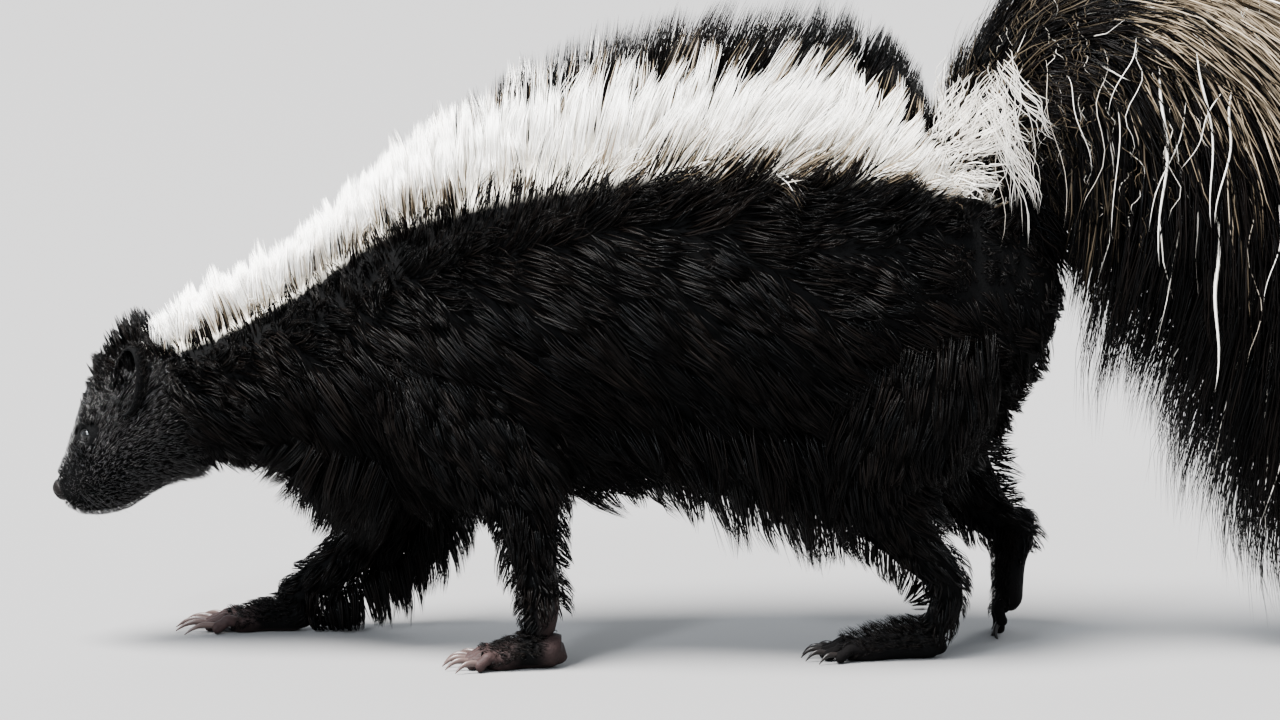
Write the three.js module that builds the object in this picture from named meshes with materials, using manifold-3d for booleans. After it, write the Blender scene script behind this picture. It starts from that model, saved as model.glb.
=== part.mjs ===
// A striped skunk walking with its head low and its plume arched over the rump: a still, life-size model.
// Millimetres. +Z is up, the nose points along -X and the animal's left side faces -Y.
import * as THREE from "three";
import { mergeVertices } from "three/addons/utils/BufferGeometryUtils.js";
import Module from "manifold-3d";

const wasm = await Module();
wasm.setup();

// Driving dimensions.
const GAP = 0.35; // between touching parts of the body
const NOSE_TIP = { x: -246.5, z: 69.2 };
const HEAD_PITCH = 34; // degrees that the head's axis rises from the nose to the neck
const FORE_TRACK = { left: -45, right: 38 }; // where the forepaws stand across the body
const HIND_TRACK = { left: -24, right: 30 };
const EYE = { along: 25.8, above: 10.2, across: 12.1, radius: 3.4 };
const EAR = { along: 53, above: 18.5, across: 22, height: 28, depth: 17, thick: 13 };

const Y_AXIS = new THREE.Vector3(0, 1, 0);
const rad = THREE.MathUtils.degToRad;

// A closed mesh as a solid for joining and cutting, and back again.
function solid(geometry) {
  const bare = geometry.clone();
  bare.deleteAttribute("normal");
  bare.deleteAttribute("uv");
  const merged = mergeVertices(bare, 1e-4);
  const mesh = new wasm.Mesh({
    numProp: 3,
    vertProperties: merged.attributes.position.array,
    triVerts: new Uint32Array(merged.index.array),
  });
  return new wasm.Manifold(mesh);
}

function geometryOf(body) {
  const mesh = body.getMesh();
  const geometry = new THREE.BufferGeometry();
  const places = new Float32Array(mesh.numVert * 3);
  for (let i = 0; i < mesh.numVert; i += 1) {
    const start = i * mesh.numProp;
    places.set(mesh.vertProperties.subarray(start, start + 3), i * 3);
  }
  geometry.setAttribute("position", new THREE.BufferAttribute(places, 3));
  geometry.setIndex(new THREE.BufferAttribute(mesh.triVerts, 1));
  geometry.computeVertexNormals();
  return geometry;
}

const join = (bodies) => wasm.Manifold.union(bodies);
const largest = (body) =>
  body.decompose().reduce((best, piece) => (piece.volume() > best.volume() ? piece : best));

// A closed skin over rings of points, with a fan over each end.
function skinOver(rings, ends = [centreOf(rings[0]), centreOf(rings.at(-1))]) {
  const sides = rings[0].length;
  const places = rings.flat().concat(ends);
  const faces = [];
  const first = places.length - 2;
  const last = places.length - 1;
  for (let i = 0; i < sides; i += 1) {
    const j = (i + 1) % sides;
    for (let r = 0; r + 1 < rings.length; r += 1) {
      const a = r * sides;
      const b = a + sides;
      faces.push(a + i, a + j, b + i, a + j, b + j, b + i);
    }
    const end = (rings.length - 1) * sides;
    faces.push(first, j, i, last, end + i, end + j);
  }
  return meshFrom(places, faces);
}

const centreOf = (ring) =>
  ring.reduce((sum, p) => sum.add(p), new THREE.Vector3()).divideScalar(ring.length);

// Points and triangles as a solid that faces outwards.
function meshFrom(places, faces) {
  let volume = 0;
  for (let i = 0; i < faces.length; i += 3) {
    const [a, b, c] = [places[faces[i]], places[faces[i + 1]], places[faces[i + 2]]];
    volume += a.dot(new THREE.Vector3().crossVectors(b, c));
  }
  const order = volume < 0 ? [0, 2, 1] : [0, 1, 2];
  const turned = [];
  for (let i = 0; i < faces.length; i += 3) order.forEach((k) => turned.push(faces[i + k]));
  const geometry = new THREE.BufferGeometry().setFromPoints(places);
  geometry.setIndex(turned);
  return solid(geometry);
}

// A smooth body along a line of stations. Each station gives a point on the line, the half width across,
// the half depth above and below (on a leg: behind and in front), and how square its section is.
function bodyLine(stations) {
  const points = stations.map((s) => new THREE.Vector3(s.x, s.y ?? 0, s.z));
  const curve = new THREE.CatmullRomCurve3(points, false, "centripetal");
  const last = stations.length - 1;
  const numberAt = (key, t, fallback) => {
    const f = t * last;
    const i = Math.min(Math.floor(f), last - 1);
    const k = (j) => stations[THREE.MathUtils.clamp(j, 0, last)][key] ?? fallback;
    const [p, q, r, s, u] = [k(i - 1), k(i), k(i + 1), k(i + 2), f - i];
    const bend = 2 * q + (r - p) * u + (2 * p - 5 * q + 4 * r - s) * u * u;
    return (bend + (3 * q - p - 3 * r + s) * u * u * u) / 2;
  };
  const frameAt = (t) => {
    const along = curve.getTangent(t);
    const up = new THREE.Vector3().crossVectors(along, Y_AXIS).normalize();
    return { centre: curve.getPoint(t), along, up };
  };
  const point = (t, angle, grow = 0) => {
    const { centre, up } = frameAt(t);
    const power = numberAt("square", t, 1);
    const c = Math.cos(angle);
    const s = Math.sin(angle);
    const depth = numberAt(c > 0 ? "above" : "below", t) + grow;
    const wide = numberAt("wide", t) + grow;
    return centre
      .clone()
      .addScaledVector(up, depth * Math.sign(c) * Math.abs(c) ** power)
      .addScaledVector(Y_AXIS, wide * Math.sign(s) * Math.abs(s) ** power);
  };
  const outward = (t, angle) => {
    const step = 0.01;
    const alongStep = point(Math.min(t + step, 1), angle).sub(point(Math.max(t - step, 0), angle));
    const aroundStep = point(t, angle + step).sub(point(t, angle - step));
    return alongStep.cross(aroundStep).normalize();
  };
  const build = ({ rings, sides, grow = 0 }) => {
    const made = [];
    for (let r = 0; r <= rings; r += 1) {
      const ring = [];
      for (let i = 0; i < sides; i += 1) ring.push(point(r / rings, (i / sides) * 2 * Math.PI, grow));
      made.push(ring);
    }
    if (grow) {
      const push = (ring, t, sign) => ring.forEach((p) => p.addScaledVector(frameAt(t).along, sign * grow));
      push(made[0], 0, -1);
      push(made.at(-1), 1, 1);
    }
    return skinOver(made);
  };
  return { point, outward, frameAt, build };
}

// The part of a body between two cutting planes, each {at, normal}, with half the gap taken off each side.
function between(body, near, far, gap = GAP) {
  const trim = (piece, plane, sign) => {
    const n = plane.normal.clone().normalize().multiplyScalar(sign);
    return piece.trimByPlane(n.toArray(), n.dot(plane.at) + gap / 2);
  };
  let piece = near ? trim(body, near, 1) : body;
  piece = far ? trim(piece, far, -1) : piece;
  return largest(piece);
}

// The trunk: neck, chest, belly and rump along one line from the back of the head to the root of the tail.
// "crest" is how far the long hair stands over the top of it, and "fringe" how far it hangs under it.
const TRUNK_STATIONS = [
  { x: -205, z: 99, wide: 18, above: 20, below: 20, crest: 4, fringe: 2 },
  { x: -192, z: 106, wide: 25, above: 30, below: 29, crest: 9, fringe: 3 },
  { x: -169, z: 113, wide: 28, above: 31, below: 31, crest: 16, fringe: 6 },
  { x: -142, z: 121, wide: 33, above: 37, below: 38, crest: 16, fringe: 14 },
  { x: -113, z: 127, wide: 42, above: 53, below: 52, crest: 15, fringe: 20 },
  { x: -80, z: 135, wide: 51, above: 67, below: 68, crest: 18, fringe: 8 },
  { x: -38, z: 146, wide: 59, above: 77, below: 78, crest: 25, fringe: 7 },
  { x: 4, z: 155, wide: 64, above: 82, below: 82, crest: 31, fringe: 8 },
  { x: 46, z: 158, wide: 66, above: 85, below: 86, crest: 34, fringe: 10 },
  { x: 88, z: 156, wide: 64, above: 87, below: 88, crest: 32, fringe: 18 },
  { x: 124, z: 157, wide: 53, above: 72, below: 75, crest: 24, fringe: 12 },
  { x: 152, z: 163, wide: 38, above: 48, below: 50, crest: 12, fringe: 8 },
  { x: 170, z: 171, wide: 16, above: 20, below: 20, crest: 8, fringe: 8 },
];
const TRUNK = bodyLine(TRUNK_STATIONS);
const FLANK_HAIR = 8; // how far the tips of the hair stand out from the flanks
const COAT = bodyLine(TRUNK_STATIONS.map((s) => ({
  ...s,
  above: s.above + s.crest,
  below: s.below + s.fringe,
  wide: s.wide + FLANK_HAIR,
})));

// The head along its own axis, from the nose back: depth above and below the axis, and half width.
const headPoint = (along, above, across = 0) => {
  const a = rad(HEAD_PITCH);
  return new THREE.Vector3(
    NOSE_TIP.x + along * Math.cos(a) - above * Math.sin(a),
    across,
    NOSE_TIP.z + along * Math.sin(a) + above * Math.cos(a),
  );
};
const headStation = (along, above, below, wide, square = 1) => {
  const middle = (above - below) / 2;
  const { x, z } = headPoint(along, middle);
  const half = (above + below) / 2;
  return { x, z, above: half, below: half, wide, square };
};
const HEAD = bodyLine([
  headStation(0.6, -1.5, 9, 4.5),
  headStation(2.5, 2.5, 13, 8, 0.9),
  headStation(7, 5.8, 18, 10.4, 0.9),
  headStation(13, 9, 21.5, 12.6, 0.92),
  headStation(20, 13.5, 24, 15.6, 0.95),
  headStation(28, 19.5, 25.5, 19.6),
  headStation(37, 25.5, 26.5, 23.6),
  headStation(47, 30, 28, 26),
  headStation(58, 31.5, 29, 26.5),
  headStation(69, 27, 27, 23),
  headStation(78, 16, 16, 14),
]);
const HEAD_COAT = bodyLine([
  headStation(20, 14, 24, 16),
  headStation(28, 21, 27, 20),
  headStation(37, 31, 29, 25),
  headStation(47, 37, 31, 28),
  headStation(58, 40, 32, 29),
  headStation(69, 39, 31, 27),
  headStation(82, 34, 24, 20),
]);
const HEAD_GRID = { rings: 16, sides: 16 };

const CUTS = {
  headToNeck: { at: new THREE.Vector3(-193, 0, 105), normal: new THREE.Vector3(0.89, 0, 0.45) },
  neckToTorso: { at: new THREE.Vector3(-128, 0, 122), normal: new THREE.Vector3(0.97, 0, 0.22) },
  tailBaseToMiddle: { at: new THREE.Vector3(188, 0, 272), normal: new THREE.Vector3(0.98, 0, 0.2) },
  tailMiddleToEnd: { at: new THREE.Vector3(272, 0, 245), normal: new THREE.Vector3(0.5, 0, -0.87) },
};

// The tail: at each station the dock's place inside it, and the tips of the hair on the outer side
// of its arch and across from that, on the side where the hair hangs down.
const TAIL_STATIONS = [
  { dock: [138, 196], outer: [126, 222], inner: [160, 186], wide: 24 },
  { dock: [151, 224], outer: [132, 258], inner: [176, 196], wide: 32 },
  { dock: [168, 254], outer: [150, 286], inner: [190, 188], wide: 36 },
  { dock: [193, 275], outer: [186, 309], inner: [197, 168], wide: 40 },
  { dock: [227, 279], outer: [232, 313], inner: [207, 143], wide: 42 },
  { dock: [260, 258], outer: [278, 295], inner: [222, 122], wide: 43 },
  { dock: [286, 224], outer: [317, 250], inner: [236, 102], wide: 42 },
  { dock: [298, 182], outer: [339, 200], inner: [242, 78], wide: 39 },
  { dock: [303, 142], outer: [350, 148], inner: [250, 56], wide: 34 },
  { dock: [305, 112], outer: [352, 98], inner: [263, 38], wide: 27 },
  { dock: [307, 92], outer: [345, 54], inner: [282, 26], wide: 19 },
  { dock: [310, 76], outer: [328, 26], inner: [306, 18], wide: 8 },
];
const tailLine = (share, wideShare) =>
  bodyLine(TAIL_STATIONS.map(({ dock, outer, inner, wide }) => {
    const edge = (tip) => dock.map((value, k) => value + (tip[k] - value) * share);
    const [top, under] = [edge(outer), edge(inner)];
    const half = Math.hypot(top[0] - under[0], top[1] - under[1]) / 2;
    return {
      x: (top[0] + under[0]) / 2,
      z: (top[1] + under[1]) / 2,
      above: half,
      below: half,
      wide: wide * wideShare,
    };
  }));
const TAIL_CORE = tailLine(0.48, 0.55);
const PLUME = tailLine(1, 1);

// A lock of wet hair: a flat blade that tapers to a point, with its root sunk in the body under it.
function lock({ root, bend, tip, across, wide, thick, grow = 0 }) {
  const path = new THREE.QuadraticBezierCurve3(root, bend, tip);
  const made = [[0, 0.75], [0.38, 1], [0.74, 0.62]].map(([t, share]) => {
    const over = new THREE.Vector3().crossVectors(path.getTangent(t), across).normalize();
    const half = [(wide / 2) * share + grow, (thick / 2) * share + grow];
    return [[1, -0.4], [0, 1], [-1, -0.4]].map(([a, b]) =>
      path.getPoint(t).addScaledVector(across, a * half[0]).addScaledVector(over, b * half[1]));
  });
  return skinOver(made, [root.clone(), tip.clone().addScaledVector(path.getTangent(1), grow)]);
}

// Varied sizes that come out the same each time.
let seed = 20;
function random() {
  seed = (seed * 1664525 + 1013904223) % 4294967296;
  return seed / 4294967296;
}
const spread = (share) => 1 + share * (2 * random() - 1);

// Locks in rows: each row has its angle round the body and the stretch of the body that it covers.
// They are rooted in the core, and their tips lie on the outer line, further on by "reach".
const SUNK = 5;
function rowsOfLocks(core, outer, rows) {
  return rows.flatMap(({ angle, from, to, count, reach, wide, thick, sag = 0, arch = 0.1 }) => {
    const locks = [];
    for (let i = 0; i < count; i += 1) {
      const t = from + ((i + 0.5 + 0.5 * (random() - 0.5)) / count) * (to - from);
      const round = angle + 0.1 * (random() - 0.5);
      const out = core.outward(t, round);
      const skin = core.point(t, round);
      const tip = outer.point(Math.min(t + reach * spread(0.15), 1), round + 0.12 * (random() - 0.5));
      tip.addScaledVector(out, 3 * (random() - 0.5)).add(new THREE.Vector3(0, 0, -sag * spread(0.3)));
      const chord = tip.clone().sub(skin);
      const across = new THREE.Vector3().crossVectors(out, chord).normalize();
      const bend = skin.clone().addScaledVector(chord, 0.5).addScaledVector(out, chord.length() * arch);
      const root = skin.clone().addScaledVector(out, -SUNK);
      locks.push({ root, bend, tip, across, wide: wide * spread(0.2), thick: thick * spread(0.15), t });
    }
    return locks;
  });
}
const onMiddle = ({ angle }) => angle === 0 || angle === Math.PI;
const bothSides = (rows) =>
  rows.flatMap((row) => (onMiddle(row) ? [row] : [row, { ...row, angle: -row.angle }]));

// Each leg is one line from inside the trunk to the wrist or heel, cut into an upper and a lower part.
// "rows" are its locks: an angle of 0 is behind the leg, and the animal's left side is at a negative one.
const legOf = (elbow, stations, rows) => ({
  elbow: { at: new THREE.Vector3(...elbow.at), normal: new THREE.Vector3(...elbow.normal) },
  line: bodyLine(stations),
  coat: bodyLine(stations.map((s) => ({ ...s, above: s.above + 7, below: s.below + 5, wide: s.wide + 4 }))),
  rows,
});
const LEGS = {
  fore_left: legOf({ at: [-50, 0, 72], normal: [0.1, 0, -1] }, [
    { x: -100, y: -24, z: 140, wide: 16, above: 28, below: 28 },
    { x: -78, y: -34, z: 108, wide: 19, above: 29, below: 29 },
    { x: -50, y: -40, z: 74, wide: 15, above: 18, below: 19 },
    { x: -44, y: -43, z: 46, wide: 11, above: 12, below: 12.5 },
    { x: -41, y: -45, z: 26, wide: 10, above: 10.5, below: 10.5 },
    { x: -42, y: -45, z: 12, wide: 9.5, above: 8, below: 9 },
  ], [
    { angle: 0, from: 0.3, to: 0.7, count: 3, reach: 0.12, wide: 17, thick: 6, sag: 6 },
  ]),
  fore_right: legOf({ at: [-97, 0, 58], normal: [-0.5, 0, -0.86] }, [
    { x: -102, y: 24, z: 140, wide: 16, above: 28, below: 28 },
    { x: -98, y: 34, z: 100, wide: 19, above: 29, below: 29 },
    { x: -99, y: 38, z: 62, wide: 15, above: 20, below: 19 },
    { x: -120, y: 38, z: 36, wide: 11, above: 13, below: 13 },
    { x: -141, y: 38, z: 20, wide: 10, above: 10, below: 10 },
    { x: -152, y: 38, z: 13, wide: 9.5, above: 8, below: 9 },
  ], [
    { angle: -0.3, from: 0.32, to: 0.66, count: 4, reach: 0.03, wide: 20, thick: 7, sag: 13 },
    { angle: -0.3, from: 0.7, to: 0.86, count: 2, reach: 0.02, wide: 15, thick: 6, sag: 3 },
    { angle: Math.PI, from: 0.16, to: 0.42, count: 2, reach: 0.1, wide: 18, thick: 6, sag: 6 },
  ]),
  hind_left: legOf({ at: [98, 0, 66], normal: [0.3, 0, -0.95] }, [
    { x: 122, y: -22, z: 160, wide: 18, above: 34, below: 34 },
    { x: 110, y: -36, z: 118, wide: 24, above: 35, below: 38 },
    { x: 99, y: -36, z: 76, wide: 18, above: 24, below: 22 },
    { x: 113, y: -29, z: 52, wide: 12, above: 14, below: 15 },
    { x: 127, y: -26, z: 35, wide: 10, above: 10, below: 11 },
    { x: 128, y: -25, z: 20, wide: 9.5, above: 9, below: 10 },
    { x: 120, y: -24, z: 9, wide: 9, above: 7, below: 8 },
  ], [
    { angle: 0, from: 0.22, to: 0.6, count: 4, reach: 0.09, wide: 18, thick: 7, sag: 8 },
    { angle: -1.4, from: 0.12, to: 0.44, count: 3, reach: 0.14, wide: 26, thick: 7 },
    { angle: 2.9, from: 0.28, to: 0.56, count: 3, reach: 0.05, wide: 18, thick: 7, sag: 16 },
  ]),
  hind_right: legOf({ at: [126, 0, 72], normal: [0.55, 0, -0.84] }, [
    { x: 124, y: 22, z: 160, wide: 18, above: 34, below: 34 },
    { x: 124, y: 36, z: 118, wide: 24, above: 36, below: 37 },
    { x: 128, y: 38, z: 80, wide: 18, above: 24, below: 24 },
    { x: 145, y: 34, z: 56, wide: 12, above: 14, below: 15 },
    { x: 160, y: 31, z: 43, wide: 9.5, above: 9, below: 10 },
    { x: 163, y: 30, z: 34, wide: 9, above: 7, below: 9 },
  ], [
    { angle: 0, from: 0.2, to: 0.66, count: 4, reach: 0.1, wide: 18, thick: 7, sag: 7 },
    { angle: 1.4, from: 0.12, to: 0.44, count: 2, reach: 0.14, wide: 26, thick: 7 },
    { angle: -2.9, from: 0.3, to: 0.6, count: 2, reach: 0.08, wide: 18, thick: 6, sag: 8 },
  ]),
};

// A foot in its own frame: the toes point along +x, the sole is at z 0, and the ankle is above x 0.
const FORE_FOOT = { sole: 25, wide: 12.5, height: 12, toe: 10, toeRadius: 3.4, claw: 13, clawRadius: 1.7 };
const HIND_FOOT = { sole: 35, wide: 11.5, height: 13, toe: 8, toeRadius: 3.3, claw: 8, clawRadius: 1.5 };
const DIGITS = [-34, -16, 0, 15, 32]; // degrees that each digit splays from the foot's line
const DIGIT_REACH = [0.72, 0.94, 1, 0.96, 0.76]; // how far each one reaches, as a share of the middle one

function footParts(foot, place) {
  const palm = bodyLine([
    { x: -9, z: 6.5, wide: 6, above: 6, below: 5 },
    { x: -5, z: 7.5, wide: foot.wide * 0.78, above: foot.height * 0.6, below: 8.3 },
    { x: foot.sole * 0.3, z: 7, wide: foot.wide * 0.9, above: foot.height * 0.5, below: 7.8 },
    { x: foot.sole * 0.62, z: 5.5, wide: foot.wide, above: 6, below: 6.3 },
    { x: foot.sole * 0.86, z: 4.5, wide: foot.wide * 0.86, above: 4.6, below: 5 },
    { x: foot.sole * 0.95, z: 4.2, wide: foot.wide * 0.5, above: 3, below: 3.6 },
  ]);
  const toes = [];
  const claws = [];
  const clawsGrown = [];
  DIGITS.forEach((splay, i) => {
    const turn = rad(splay);
    const rootX = foot.sole * (0.62 + 0.16 * DIGIT_REACH[i]);
    const rootY = (i - 2) * foot.wide * 0.39;
    const at = (reach, z) => ({
      x: rootX + reach * Math.cos(turn * 0.6),
      y: rootY + reach * Math.sin(turn * 0.6),
      z,
    });
    const length = (foot.toe + foot.sole * 0.2) * DIGIT_REACH[i];
    const r = foot.toeRadius;
    const toe = bodyLine([
      { ...at(0, r * 1.25), wide: r * 0.9, above: r * 0.9, below: r * 0.9 },
      { ...at(length * 0.45, r * 1.5), wide: r, above: r, below: r },
      { ...at(length * 0.85, r * 0.95), wide: r * 0.95, above: r * 0.9, below: r * 1.05 },
      { ...at(length, r * 0.9), wide: r * 0.5, above: r * 0.5, below: r * 0.6 },
    ]);
    toes.push(toe.build({ rings: 3, sides: 5 }));
    const c = foot.clawRadius;
    const claw = bodyLine([
      { ...at(length - 2.2, r * 1.25), wide: c * 0.7, above: c, below: c },
      { ...at(length + foot.claw * 0.3, r * 1.3), wide: c * 0.6, above: c * 0.9, below: c * 0.9 },
      { ...at(length + foot.claw * 0.7, r * 0.85), wide: c * 0.42, above: c * 0.55, below: c * 0.55 },
      { ...at(length + foot.claw, r * 0.25), wide: 0.22, above: 0.22, below: 0.22 },
    ]);
    claws.push(claw.build({ rings: 3, sides: 4 }));
    clawsGrown.push(claw.build({ rings: 3, sides: 4, grow: GAP }));
  });
  const flesh = join([palm.build({ rings: 5, sides: 9 }), ...toes]);
  const set = (body) => body.transform(place.elements);
  return {
    paw: set(flesh),
    claws: claws.map(set),
    clawsGrown: clawsGrown.map(set),
  };
}

// Where each foot stands: its ankle's place, the way it points, and how steeply its heel is raised.
function footPlace({ x, y, z, pitch, toeOut }) {
  const turn = new THREE.Matrix4().makeRotationZ(Math.PI + rad(toeOut));
  const tip = new THREE.Matrix4().makeRotationY(rad(pitch));
  return new THREE.Matrix4().makeTranslation(x, y, z).multiply(turn).multiply(tip);
}
const FEET = {
  fore_left: { foot: FORE_FOOT, x: -42, y: FORE_TRACK.left, z: -0.4, pitch: 0, toeOut: 4 },
  fore_right: { foot: FORE_FOOT, x: -152, y: FORE_TRACK.right, z: -0.4, pitch: 0, toeOut: -4 },
  hind_left: { foot: HIND_FOOT, x: 117, y: HIND_TRACK.left, z: -0.4, pitch: 0, toeOut: 5 },
  hind_right: { foot: HIND_FOOT, x: 167, y: HIND_TRACK.right, z: 40, pitch: 74, toeOut: -4 },
};

// The head's fine forms: nose pad with nostrils, mouth line, eye sockets with lids, and the ear cups.
function sphere(radius, at, stretch = [1, 1, 1], turn = [0, 0, 0], detail = [10, 8]) {
  const shape = new THREE.SphereGeometry(radius, ...detail);
  shape.scale(...stretch);
  const matrix = new THREE.Matrix4().makeRotationFromEuler(new THREE.Euler(...turn));
  shape.applyMatrix4(matrix.setPosition(at));
  return solid(shape);
}
const MUZZLE_TILT = rad(HEAD_PITCH);
const NOSE = { along: 1.2, above: -3.4, radius: 5.2 };
const nosePad = (grow) =>
  sphere(NOSE.radius + grow, headPoint(NOSE.along, NOSE.above), [0.72, 1.08, 0.78], [0, -MUZZLE_TILT, 0]);
function nostrils() {
  return [-1, 1].map((side) =>
    sphere(1.15, headPoint(-2.4, NOSE.above - 0.4, side * 2.5), [1.4, 0.75, 1.2], [0, 0, side * 0.5], [8, 6]),
  );
}
function mouthLine(inside) {
  const HALF = 0.3;
  const route = [[-4, -11], [3, -12.6], [11, -15.2], [19, -16.4], [27, -14.6]];
  const top = route.map(([a, n]) => headPoint(a, n + HALF));
  const under = route.map(([a, n]) => headPoint(a, n - HALF)).reverse();
  const outline = new THREE.Shape([...top, ...under].map((p) => new THREE.Vector2(p.x, p.z)));
  const plate = new THREE.ExtrudeGeometry(outline, { depth: 60, bevelEnabled: false });
  plate.rotateX(Math.PI / 2);
  plate.translate(0, 30, 0);
  return solid(plate).subtract(inside);
}
const eyeCentre = (side) => headPoint(EYE.along, EYE.above, side * EYE.across);
function lids(side) {
  const centre = eyeCentre(side);
  const outer = sphere(EYE.radius + 1, centre, [1.15, 1, 1.05]);
  const opening = centre.clone().add(new THREE.Vector3(-0.9, side * 2.7, 0.5));
  const slit = sphere(EYE.radius * 0.86, opening, [1.1, 1.2, 0.8], [0, -0.75, 0]);
  return { outer, slit, socket: sphere(EYE.radius + GAP, centre) };
}
function earCup(side) {
  const centre = headPoint(EAR.along, EAR.above, side * EAR.across);
  const size = [EAR.depth / 2, EAR.thick / 2, EAR.height / 2];
  const turn = [side * 0.3, 0.1, -side * 0.55];
  const outer = sphere(1, centre, size, turn, [12, 7]);
  const mouth = new THREE.Vector3(-2.6, side * 4.4, 0.4);
  const hollow = sphere(1, centre.clone().add(mouth), size.map((s) => s * 0.84), turn, [12, 7]);
  return outer.subtract(hollow);
}

// Builds every part of the body and cuts each clear of what it meets.
const nodes = [];
const SMOOTHED = 0.14; // how far a face may move when small faces are merged
const addNode = (name, body, look) => nodes.push({ name, body: largest(body.simplify(SMOOTHED)), look });
const COAT_BLACK = { color: 0x0e0c0c, roughness: 0.55, metalness: 0 };
const PAW_SKIN = { color: 0x4a3a38, roughness: 0.6, metalness: 0 };
const CLAW_HORN = { color: 0x8c7467, roughness: 0.4, metalness: 0 };
const NOSE_SKIN = { color: 0x1c1615, roughness: 0.35, metalness: 0 };
const EYE_DARK = { color: 0x08080a, roughness: 0.05, metalness: 0 };

// The coat's locks over the trunk, the crown of the head and the tail.
const BELLY = Math.PI;
const trunkLocks = rowsOfLocks(TRUNK, COAT, bothSides([
  { angle: 0, from: 0.08, to: 0.87, count: 14, reach: 0.085, wide: 22, thick: 8 },
  { angle: 0.44, from: 0.24, to: 0.88, count: 10, reach: 0.085, wide: 25, thick: 8 },
  { angle: 0.92, from: 0.1, to: 0.84, count: 7, reach: 0.09, wide: 29, thick: 8 },
  { angle: 1.35, from: 0.22, to: 0.84, count: 6, reach: 0.11, wide: 32, thick: 7, sag: 3 },
  { angle: 1.9, from: 0.3, to: 0.82, count: 5, reach: 0.11, wide: 34, thick: 8, sag: 5 },
  { angle: 2.5, from: 0.16, to: 0.46, count: 3, reach: 0.06, wide: 25, thick: 8, sag: 7 },
  { angle: 2.6, from: 0.52, to: 0.78, count: 3, reach: 0.07, wide: 30, thick: 8, sag: 4 },
  { angle: BELLY, from: 0.1, to: 0.86, count: 8, reach: 0.06, wide: 26, thick: 8, sag: 5 },
  { angle: 1.15, from: 0.86, to: 0.99, count: 2, reach: 0.06, wide: 26, thick: 8, sag: 12 },
  { angle: 1.85, from: 0.82, to: 0.98, count: 3, reach: 0.05, wide: 26, thick: 9, sag: 20 },
  { angle: 2.6, from: 0.82, to: 0.97, count: 2, reach: 0.05, wide: 26, thick: 9, sag: 14 },
]));
const headLocks = rowsOfLocks(HEAD, HEAD_COAT, bothSides([
  { angle: 0.25, from: 0.6, to: 0.84, count: 2, reach: 0.1, wide: 11, thick: 5 },
  { angle: 2.3, from: 0.66, to: 0.86, count: 2, reach: 0.1, wide: 14, thick: 5 },
]));
const tailLocks = rowsOfLocks(TAIL_CORE, PLUME, bothSides([
  { angle: 0.32, from: 0.03, to: 0.86, count: 8, reach: 0.1, wide: 34, thick: 10, arch: 0.16 },
  { angle: 1, from: 0.02, to: 0.88, count: 6, reach: 0.11, wide: 38, thick: 10, arch: 0.18 },
  { angle: 1.7, from: 0.06, to: 0.9, count: 6, reach: 0.12, wide: 39, thick: 10, arch: 0.18 },
  { angle: 2.4, from: 0.1, to: 0.9, count: 7, reach: 0.11, wide: 34, thick: 10, arch: 0.12 },
  { angle: Math.PI, from: 0.12, to: 0.88, count: 6, reach: 0.12, wide: 32, thick: 10 },
]));

const MELTED = 0.5; // how far a face may move where locks cross
const fused = (locks, grow = 0) => join(locks.map((one) => lock({ ...one, grow }))).simplify(MELTED);
const cutAway = (body, others) => others.reduce((rest, other) => rest.subtract(other), body);

const GRID = { rings: 16, sides: 14 };
const trunkCore = TRUNK.build(GRID);
const trunkGrown = TRUNK.build({ ...GRID, grow: GAP });
const headCore = HEAD.build(HEAD_GRID);
const headGrown = HEAD.build({ ...HEAD_GRID, grow: GAP });
const tailCore = TAIL_CORE.build({ rings: 13, sides: 10 });
const tailCoreGrown = TAIL_CORE.build({ rings: 13, sides: 10, grow: GAP });

// The legs: each limb with its own locks is cut clear of the trunk, and the trunk's locks clear of it.
const LIMB_GRID = { rings: 9, sides: 9 };
const limbs = Object.entries(LEGS).map(([name, { line, coat, elbow, rows }]) => {
  const locks = rowsOfLocks(line, coat, rows);
  const bare = line.build(LIMB_GRID);
  const grown = line.build({ ...LIMB_GRID, grow: GAP });
  return {
    name,
    elbow,
    body: join([bare, fused(locks)]).subtract(trunkGrown),
    grown: join([grown, fused(locks, GAP)]),
  };
});

const coat = cutAway(fused(trunkLocks), [tailCoreGrown, ...limbs.map((limb) => limb.grown)]);
const spine = join([trunkCore, headCore, coat, fused(headLocks)]);
const rumpLocks = trunkLocks.filter(({ t }) => t > 0.72);
const tail = cutAway(join([tailCore, fused(tailLocks)]), [trunkGrown, fused(rumpLocks, GAP)]);

addNode("neck", between(spine, CUTS.headToNeck, CUTS.neckToTorso), COAT_BLACK);
addNode("torso", between(spine, CUTS.neckToTorso, null), COAT_BLACK);
addNode("tail_base", between(tail, null, CUTS.tailBaseToMiddle), COAT_BLACK);
const tailRest = between(tail, CUTS.tailBaseToMiddle, null);
addNode("tail_middle", between(tailRest, null, CUTS.tailMiddleToEnd), COAT_BLACK);
addNode("tail_end", between(tailRest, CUTS.tailMiddleToEnd, null), COAT_BLACK);

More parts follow.
